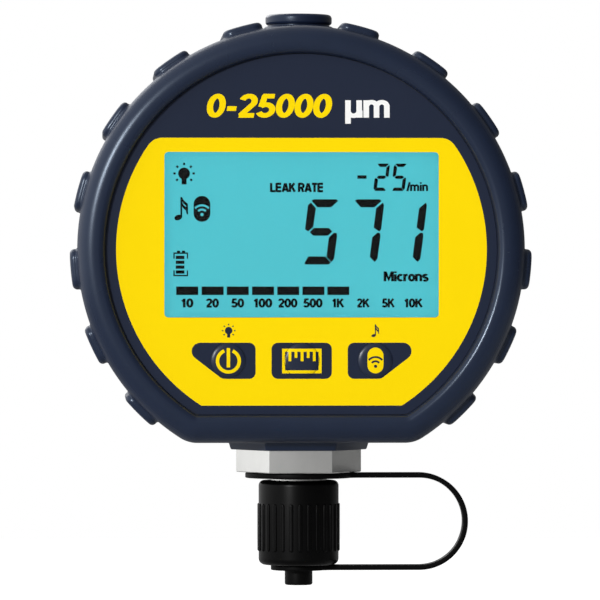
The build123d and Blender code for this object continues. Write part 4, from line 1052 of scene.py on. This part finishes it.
lcd_signs = bulb_shapes(184.1, 173.6, 5.9) + note_shapes(181.4, 217.6, 16.0)
lcd_signs += [box_path(193.6, 210.3, 196.0, 221.8, 8.2)]
lcd_signs += [box_path(175.8, 184.4, 255.8 + 4.85 * i, 259.1 + 4.85 * i) for i in range(4)]
lcd_signs += [box_path(u, u + 3.1, 250.7, 253.0) for u in (177.0, 182.0)]
for side, u in ((1, 173.4), (-1, 188.1)):
    lcd_signs += [
        box_path(*sorted((u, u + side * 1.3)), 252.9, 258.7),
        box_path(*sorted((u, u + side * 1.3)), 270.4, 276.1),
    ]
lcd_signs += [box_path(173.4, 188.1, 252.5, 253.9), box_path(173.4, 188.1, 274.9, 276.3)]
lcd_signs += [box_path(u, u + 22.0, 286.5, 295.0) for u in (176.2, 201.6, 226.7, 252.0, 277.2, 302.4, 327.3)]
for figure, left in (("5", 304.3), ("7", 347.7), ("1", 390.7)):
    lcd_signs += figure_shapes(figure, left, 264.5)
for figure, left in (("2", 374.6), ("5", 392.4)):
    lcd_signs += figure_shapes(figure, left, 190.9, 0.42)
lcd_signs += [box_path(357.4, 366.6, 175.3, 178.7)]
lcd_signs += word_shapes("LEAK RATE", 270.0, 323.6, 183.0, 192.0, 0.26)
lcd_signs += word_shapes("/min", 407.0, 428.4, 182.2, 191.0, 0.21)
lcd_signs += word_shapes("Microns", 383.6, 428.6, 271.4, 281.3, 0.23)
for text, middle in zip(
    ("10", "20", "50", "100", "200", "500", "1K", "2K", "5K", "10K"),
    (186.9, 212.4, 237.6, 262.5, 287.7, 312.8, 337.9, 363.3, 388.4, 413.4),
):
    half = 3.2 * len(text)
    lcd_signs += word_shapes(text, middle - half, middle + half, 298.6, 307.4, 0.23)
lcd_ink = moulded_material(
    "lcd_ink", (0.001, 0.001, 0.0012), 0.6, grain=3000.0, mottle=300.0, depth=0.004, shade=0.3, Specular_IOR_Level=0.05
)
lcd_segments = ink("lcd_segments", lcd_signs, on_display, LCD_FRONT - 0.01, 0.02)
finish_piece(lcd_segments, lcd_ink, "root", "lcd_glass")

lcd_glow, tree, shader = new_material("lcd_glow")
surface = tree.nodes.new("ShaderNodeGroup")
surface.node_tree = SURFACE
surface.inputs[0].default_value = 2000.0
surface.inputs[1].default_value = 25.0
for socket, level, spread in (("Base Color", 0.2, 0.06), ("Emission Color", 1.0, 0.03)):
    tint = tree.nodes.new("ShaderNodeMix")
    tint.data_type = "RGBA"
    tint.inputs["A"].default_value = (*[c * level * (1 - spread) for c in LCD_BLUE], 1)
    tint.inputs["B"].default_value = (*[min(1.0, c * level * (1 + spread)) for c in LCD_BLUE], 1)
    tree.links.new(surface.outputs["Mottle"], tint.inputs["Factor"])
    tree.links.new(tint.outputs["Result"], shader.inputs[socket])
shader.inputs["Emission Strength"].default_value = 0.82
shader.inputs["Roughness"].default_value = 0.3
shader.inputs["Specular IOR Level"].default_value = 0.2
dress_nodes(lcd_glow, "lcd_panel")
lcd_waves = ink("lcd_waves", wave_shapes(201.95, 214.6, 9.6), on_display, LCD_FRONT - 0.03, 0.01)
finish_piece(lcd_waves, lcd_glow, "root", "lcd_glass")

lens_clear, tree, shader = new_material("lens_clear")
shader.inputs["Base Color"].default_value = (0.98, 0.99, 0.99, 1)
shader.inputs["Transmission Weight"].default_value = 1.0
shader.inputs["IOR"].default_value = 1.15
shader.inputs["Specular IOR Level"].default_value = 0.12
surface = tree.nodes.new("ShaderNodeGroup")
surface.node_tree = SURFACE
haze = tree.nodes.new("ShaderNodeMapRange")
haze.inputs["To Min"].default_value = 0.0
haze.inputs["To Max"].default_value = 0.04
tree.links.new(surface.outputs["Rub"], haze.inputs["Value"])
tree.links.new(haze.outputs["Result"], shader.inputs["Roughness"])
dress_nodes(lens_clear, "display_lens")

# Case: two halves of black glass-filled plastic under the boot, the rear one with the battery
# door let into it flush. Only the back shows, inside the boot's rear rim.
shell_black = moulded_material(
    "shell_black", rgb(30, 32, 38), 0.5, grain=1500.0, mottle=140.0, depth=0.06, shade=0.14, rough_range=0.12,
    Specular_IOR_Level=0.4,
)
dress_nodes(shell_black, "front_shell", "rear_shell", "battery_door")

# Screws: plated steel pan heads with a driver's cross, four deep in the case's bosses and two
# that hold the battery door. The board's own screws stay hidden.
plated_steel = moulded_material(
    "plated_steel", rgb(196, 198, 202), 0.3, grain=4000.0, mottle=300.0, depth=0.006, shade=0.08, Metallic=1.0
)


def screw_tree():
    """One screw set at every point of another mesh."""
    group, given, out = geometry_tree(
        "screw_set", [("Screw", "Object", None), ("Places", "Object", None), ("Steel", "Material", None)]
    )
    nodes, links = group.nodes, group.links
    screw, places = nodes.new("GeometryNodeObjectInfo"), nodes.new("GeometryNodeObjectInfo")
    links.new(given.outputs["Screw"], screw.inputs["Object"])
    links.new(given.outputs["Places"], places.inputs["Object"])
    place = nodes.new("GeometryNodeInstanceOnPoints")
    links.new(places.outputs["Geometry"], place.inputs["Points"])
    links.new(screw.outputs["Geometry"], place.inputs["Instance"])
    real = nodes.new("GeometryNodeRealizeInstances")
    links.new(place.outputs[0], real.inputs[0])
    paint = nodes.new("GeometryNodeSetMaterial")
    links.new(real.outputs[0], paint.inputs["Geometry"])
    links.new(given.outputs["Steel"], paint.inputs["Material"])
    links.new(paint.outputs[0], out.inputs[0])
    return group


def cross_screw(name, head_radius, head_top, head_height, shank_radius, shank_end):
    """A screw along the depth, its head to the back, with a cross let into the head."""
    arm, reach = 0.17 * head_radius, 0.58 * head_radius
    cross = [(arm, reach), (-arm, reach), (-arm, arm), (-reach, arm), (-reach, -arm), (-arm, -arm)]
    cross += [(-u, -v) for u, v in cross]
    plate_depth = head_top - 0.28 * head_height
    round_edge = [(head_radius * cos(a), head_radius * sin(a)) for a in [2 * pi * i / 48 for i in range(48)]]
    plate = flat_print(
        name + "_plate", [round_edge, cross], lambda u, v: (u, v), plate_depth, 0.56 * head_height, 0.12 * head_height
    )
    shank = turned(
        name + "_shank",
        [(0.0, plate_depth - 0.24 * head_height), (head_radius * 0.985, plate_depth - 0.24 * head_height)]
        + [(head_radius, head_top - head_height), (shank_radius, head_top - head_height)]
        + [(shank_radius, shank_end + shank_radius), (0.3 * shank_radius, shank_end), (0.0, shank_end)],
        steps=48,
        facing=True,
        closed=False,
    )
    return join_pieces(name, [plate, shank])


for name, spots, sizes, node in (
    (
        "case_screw",
        [(-18.246, 91.618), (18.246, 91.618), (-20.6, 29.706), (20.6, 29.706)],
        (2.3, 2.4, 1.6, 1.25, -10.2),
        "case_screws",
    ),
    ("door_screw", [(-28.5, BOOT_MIDDLE), (28.5, BOOT_MIDDLE)], (1.6, 14.9, 0.7, 0.9, 9.7), "battery_door_screws"),
):
    screw = cross_screw(name, *sizes)
    places_mesh = bpy.data.meshes.new(name + "_places")
    places_mesh.from_pydata([(x * MM, 0, z * MM) for x, z in spots], [], [])
    places = bpy.data.objects.new(name + "_places", places_mesh)
    bpy.context.collection.objects.link(places)
    screws = node_piece(name + "_set", screw_tree(), {"Screw": screw, "Places": places, "Steel": plated_steel})
    for helper in (screw, places):
        bpy.data.objects.remove(helper)
    finish_piece(screws, plated_steel, "root", "steel", node)
dress_nodes(plated_steel, "board_screws")

# Port: nickel-plated brass turned from hexagon bar, with a 7/16-20 thread and a flare nose below
# the hexagon, and a stem that goes up into the case through a seal and a lock nut.
THREAD_PITCH = 1.27
THREAD_BOTTOM, THREAD_TOP = 3.85, 12.6
nickel = moulded_material(
    "nickel_plate", rgb(208, 208, 206), 0.24, grain=2600.0, mottle=400.0, depth=0.003, shade=0.05, rough_range=0.08,
    Metallic=1.0,
)


def screw_thread(name, root, crest, bottom, top, pitch, around=72, along=10):
    """A right-hand thread as one closed skin whose rows follow its helix, flat at both ends."""
    rows = int((top - bottom) / pitch + 2) * along
    points = []
    for i in range(around):
        for j in range(rows + 1):
            height = bottom - pitch + (j / along + i / around) * pitch
            wave = abs((j % along) / along - 0.5) * 2
            radius = root + (crest - root) * min(1.0, max(0.0, (wave - 0.18) / 0.62))
            ends = min(1.0, max(0.0, (height - bottom) / 0.6), max(0.0, (top - height) / 0.6))
            radius = root + (radius - root) * max(0.0, ends)
            height = min(top, max(bottom, height))
            angle = 2 * pi * i / around
            points.append((radius * cos(angle), radius * sin(angle), height))
    faces = []
    for i in range(around):
        for j in range(rows):
            k = (i + 1) % around
            shift = along if k == 0 else 0
            if j + 1 + shift <= rows:
                faces.append(
                    (i * (rows + 1) + j, k * (rows + 1) + j + shift, k * (rows + 1) + j + 1 + shift, i * (rows + 1) + j + 1)
                )
    return new_piece(name, points, faces, sharp=60)


hexagon_rows = []
for half, height in (
    (5.0, 14.6), (HEX_HALF - 0.15, 14.6), (HEX_HALF, 14.75), (HEX_HALF, 24.15), (HEX_HALF - 0.15, 24.3), (5.0, 24.3),
):
    hexagon_rows.append([(x, y, height) for x, y in hexagon(half, 0.12)])
port_hexagon = new_piece(
    "port_hexagon", [p for row in hexagon_rows for p in row], skin(hexagon_rows, closed=True), sharp=25
)
port_body = turned(
    "port_body",
    [(2.4, 31.8), (2.4, 1.0), (2.6, 0.0), (2.95, 0.0), (3.05, 0.05), (4.85, 1.85), (4.9, 2.0), (4.9, 3.1), (4.85, 3.2)]
    + [(4.85, THREAD_BOTTOM), (4.8, THREAD_TOP), (5.7, THREAD_TOP), (5.8, 12.7), (5.8, 13.15), (5.7, 13.25), (5.0, 13.3)]
    + [(5.0, 15.1), (7.9, 15.1), (7.9, 31.6), (7.7, 31.8)],
)
port_thread = screw_thread("port_thread", 4.86, 5.55, THREAD_BOTTOM, THREAD_TOP, THREAD_PITCH)
port = join_pieces("flare_port", [port_hexagon, port_body, port_thread])
finish_piece(port, nickel, "root", "plated_brass", "sensor_fitting")
dress_nodes(nickel, "fitting_nut", "sensor_element")

# Dust cap: black moulded plastic with a ribbed grip band, a nub underneath for the tether's
# eye, and a rubber disc inside that seals on the flare.
CAP_RADIUS = 8.2
GRIP_BOTTOM, GRIP_TOP = -1.6, 8.2
cap_black = moulded_material(
    "cap_black", (0.0006, 0.0006, 0.0007), 0.34, grain=3600.0, mottle=200.0, depth=0.01, shade=0.2,
    Specular_IOR_Level=0.09,
)


def rib_tree():
    """Copies of one rib set evenly round an upright line."""
    group, given, out = geometry_tree(
        "grip_ribs", [("Rib", "Object", None), ("Ribs", "Int", 28), ("Plastic", "Material", None)]
    )
    nodes, links = group.nodes, group.links
    taken = nodes.new("GeometryNodeObjectInfo")
    links.new(given.outputs["Rib"], taken.inputs["Object"])
    row = nodes.new("GeometryNodeMeshLine")
    row.inputs["Offset"].default_value = (0, 0, 0)
    links.new(given.outputs["Ribs"], row.inputs["Count"])
    share = math_node(group, "DIVIDE", 2 * pi, given.outputs["Ribs"])
    about = nodes.new("ShaderNodeCombineXYZ")
    links.new(math_node(group, "MULTIPLY", nodes.new("GeometryNodeInputIndex").outputs[0], share), about.inputs["Z"])
    place = nodes.new("GeometryNodeInstanceOnPoints")
    links.new(row.outputs[0], place.inputs["Points"])
    links.new(taken.outputs["Geometry"], place.inputs["Instance"])
    links.new(about.outputs[0], place.inputs["Rotation"])
    real = nodes.new("GeometryNodeRealizeInstances")
    links.new(place.outputs[0], real.inputs[0])
    paint = nodes.new("GeometryNodeSetMaterial")
    links.new(real.outputs[0], paint.inputs["Geometry"])
    links.new(given.outputs["Plastic"], paint.inputs["Material"])
    links.new(paint.outputs[0], out.inputs[0])
    return group


rib_rows = []
for inwards, reach in ((0.0, -0.3), (0.0, 0.02), (0.04, 0.14), (0.12, 0.22), (0.24, 0.25), (0.43, 0.25)):
    rib_rows.append(
        [
            (CAP_RADIUS + reach - u * u / 2 / CAP_RADIUS, u, (GRIP_BOTTOM + GRIP_TOP) / 2 + v)
            for u, v in rounded_frame(0.45 - inwards, (GRIP_TOP - GRIP_BOTTOM) / 2 - inwards, 0.4 - inwards, 4, 2, 4)
        ]
    )
rib = new_piece("rib", [p for row in rib_rows for p in row], skin(rib_rows))
ribs = node_piece("grip_ribs", rib_tree(), {"Rib": rib, "Ribs": 28, "Plastic": cap_black})
bpy.data.objects.remove(rib)
cap_body = turned(
    "cap_body",
    [(0.0, -1.05), (5.7, -1.05), (5.7, 12.2), (5.95, 12.3), (5.95, 12.8), (6.05, 12.9)]
    + arc(CAP_RADIUS - 1.1, 11.8, 1.1, 90, 0, 9)
    + arc(CAP_RADIUS - 1.3, -3.1, 1.3, 0, -90, 9)
    + [(2.2, -4.4), (2.2, -5.55), (2.75, -5.55), (2.85, -5.65)]
    + arc(2.45, -8.15, 0.4, 0, -90, 6)
    + [(0.0, -8.55)],
    closed=False,
)
cap = join_pieces("cap_moulding", [cap_body, ribs])
finish_piece(cap, cap_black, "cap", "cap_plastic", "dust_cap")

# Tether: one moulded strap of black rubber, its ring held in the port's groove and its eye
# turning on the cap's nub. It is cut flat, with rounded edges, and bent round between the two.
STRAP_HALF, STRAP_THICK = 2.0, 1.05
RING_RADIUS, RING_HOLE = 10.95, 5.15
EYE_RADIUS, EYE_HOLE = 5.7, 2.35
BEND_START, BEND_RADIUS = 24.7, 9.45
UPPER_LINE, LOWER_LINE = 13.925, -4.975
strap_black = moulded_material(
    "strap_black", (0.0006, 0.0006, 0.0007), 0.5, grain=3600.0, mottle=200.0, depth=0.012, shade=0.2,
    Specular_IOR_Level=0.07,
)
bend_length = pi * BEND_RADIUS
strap_length = 2 * BEND_START + bend_length
edge = 0.22
half = STRAP_HALF - edge
upper = []
for radius, direction_sign, centre in ((RING_RADIUS - edge, 1, 0.0), (EYE_RADIUS - edge, -1, strap_length)):
    meet = asin((half + 0.9) / radius)
    turn = [pi - (pi - meet) * i / 40 for i in range(41)]
    side = [(centre + direction_sign * radius * cos(a), radius * sin(a)) for a in turn]
    edge_x = radius * cos(meet)
    side += [(centre + direction_sign * (edge_x + 2.4 * t), half + 0.9 * (1 - t) ** 2) for t in (0.25, 0.5, 0.75, 1.0)]
    upper += side if direction_sign > 0 else side[::-1]
strap_outline = upper + [(x, -y) for x, y in reversed(upper[1:-1])]
strap_curve = bpy.data.curves.new("strap", "CURVE")
strap_curve.dimensions = "2D"
strap_curve.fill_mode = "BOTH"
strap_curve.extrude = STRAP_THICK / 2 - edge
strap_curve.bevel_depth = edge
strap_curve.bevel_resolution = 3
for path in (
    strap_outline,
    [((RING_HOLE + edge) * cos(2 * pi * i / 64), (RING_HOLE + edge) * sin(2 * pi * i / 64)) for i in range(64)],
    [
        (strap_length + (EYE_HOLE + edge) * cos(2 * pi * i / 48), (EYE_HOLE + edge) * sin(2 * pi * i / 48))
        for i in range(48)
    ],
):
    spline = strap_curve.splines.new("POLY")
    spline.points.add(len(path) - 1)
    for point, (x, y) in zip(spline.points, path):
        point.co = (x, y, 0, 1)
    spline.use_cyclic_u = True
holder = bpy.data.objects.new("strap", strap_curve)
bpy.context.collection.objects.link(holder)
strap_mesh = bpy.data.meshes.new_from_object(holder.evaluated_get(bpy.context.evaluated_depsgraph_get()))
bpy.data.objects.remove(holder)
shape = bmesh.new()
shape.from_mesh(strap_mesh)
bmesh.ops.remove_doubles(shape, verts=shape.verts, dist=0.001)
for i in range(49):
    everything = list(shape.verts) + list(shape.edges) + list(shape.faces)
    bmesh.ops.bisect_plane(
        shape, geom=everything, plane_co=(BEND_START + bend_length * i / 48, 0, 0), plane_no=(1, 0, 0)
    )
for vertex in shape.verts:
    run, across, out = vertex.co
    if run <= BEND_START:
        vertex.co = (run, across, UPPER_LINE + out)
    elif run < BEND_START + bend_length:
        angle = (run - BEND_START) / BEND_RADIUS
        reach = BEND_RADIUS + out
        vertex.co = (BEND_START + reach * sin(angle), across, (UPPER_LINE + LOWER_LINE) / 2 + reach * cos(angle))
    else:
        vertex.co = (strap_length - run, across, LOWER_LINE - out)
bmesh.ops.scale(shape, vec=(MM, MM, MM), verts=shape.verts)
bmesh.ops.recalc_face_normals(shape, faces=shape.faces)
shape.to_mesh(strap_mesh)
shape.free()
strap_mesh.shade_smooth()
strap_mesh.set_sharp_from_angle(angle=radians(50))
strap = bpy.data.objects.new("cap_strap", strap_mesh)
bpy.context.collection.objects.link(strap)
strap.data.materials.clear()
strap.data.materials.append(strap_black)
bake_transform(strap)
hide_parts("cap_tether")
dress_nodes(strap_black, "cap_gasket", "fitting_o_ring", "shell_seal", "contact_strips")

# Inner pieces: the batteries, board and parts that the closed case hides.
cell_wrap = moulded_material("cell_wrap", rgb(40, 46, 52), 0.3, mottle=200.0, shade=0.15)
board_green = moulded_material("board_green", rgb(24, 88, 52), 0.4, mottle=700.0, shade=0.25)
white_frame = moulded_material("white_frame", rgb(226, 228, 226), 0.5, mottle=200.0, shade=0.04)
chip_black = moulded_material("chip_black", rgb(26, 26, 28), 0.45, mottle=500.0, shade=0.2)
lead_grey = moulded_material("lead_grey", rgb(150, 150, 152), 0.5, mottle=300.0, shade=0.1)
dress_nodes(cell_wrap, "battery_1", "battery_2", "battery_3")
dress_nodes(plated_steel, "battery_contacts")
dress_nodes(board_green, "main_board", "sensor_board")
dress_nodes(white_frame, "backlight_panel", "lcd_frame")
dress_nodes(chip_black, "processor", "radio_module", "beeper", "key_switches")
dress_nodes(lead_grey, "sensor_lead")
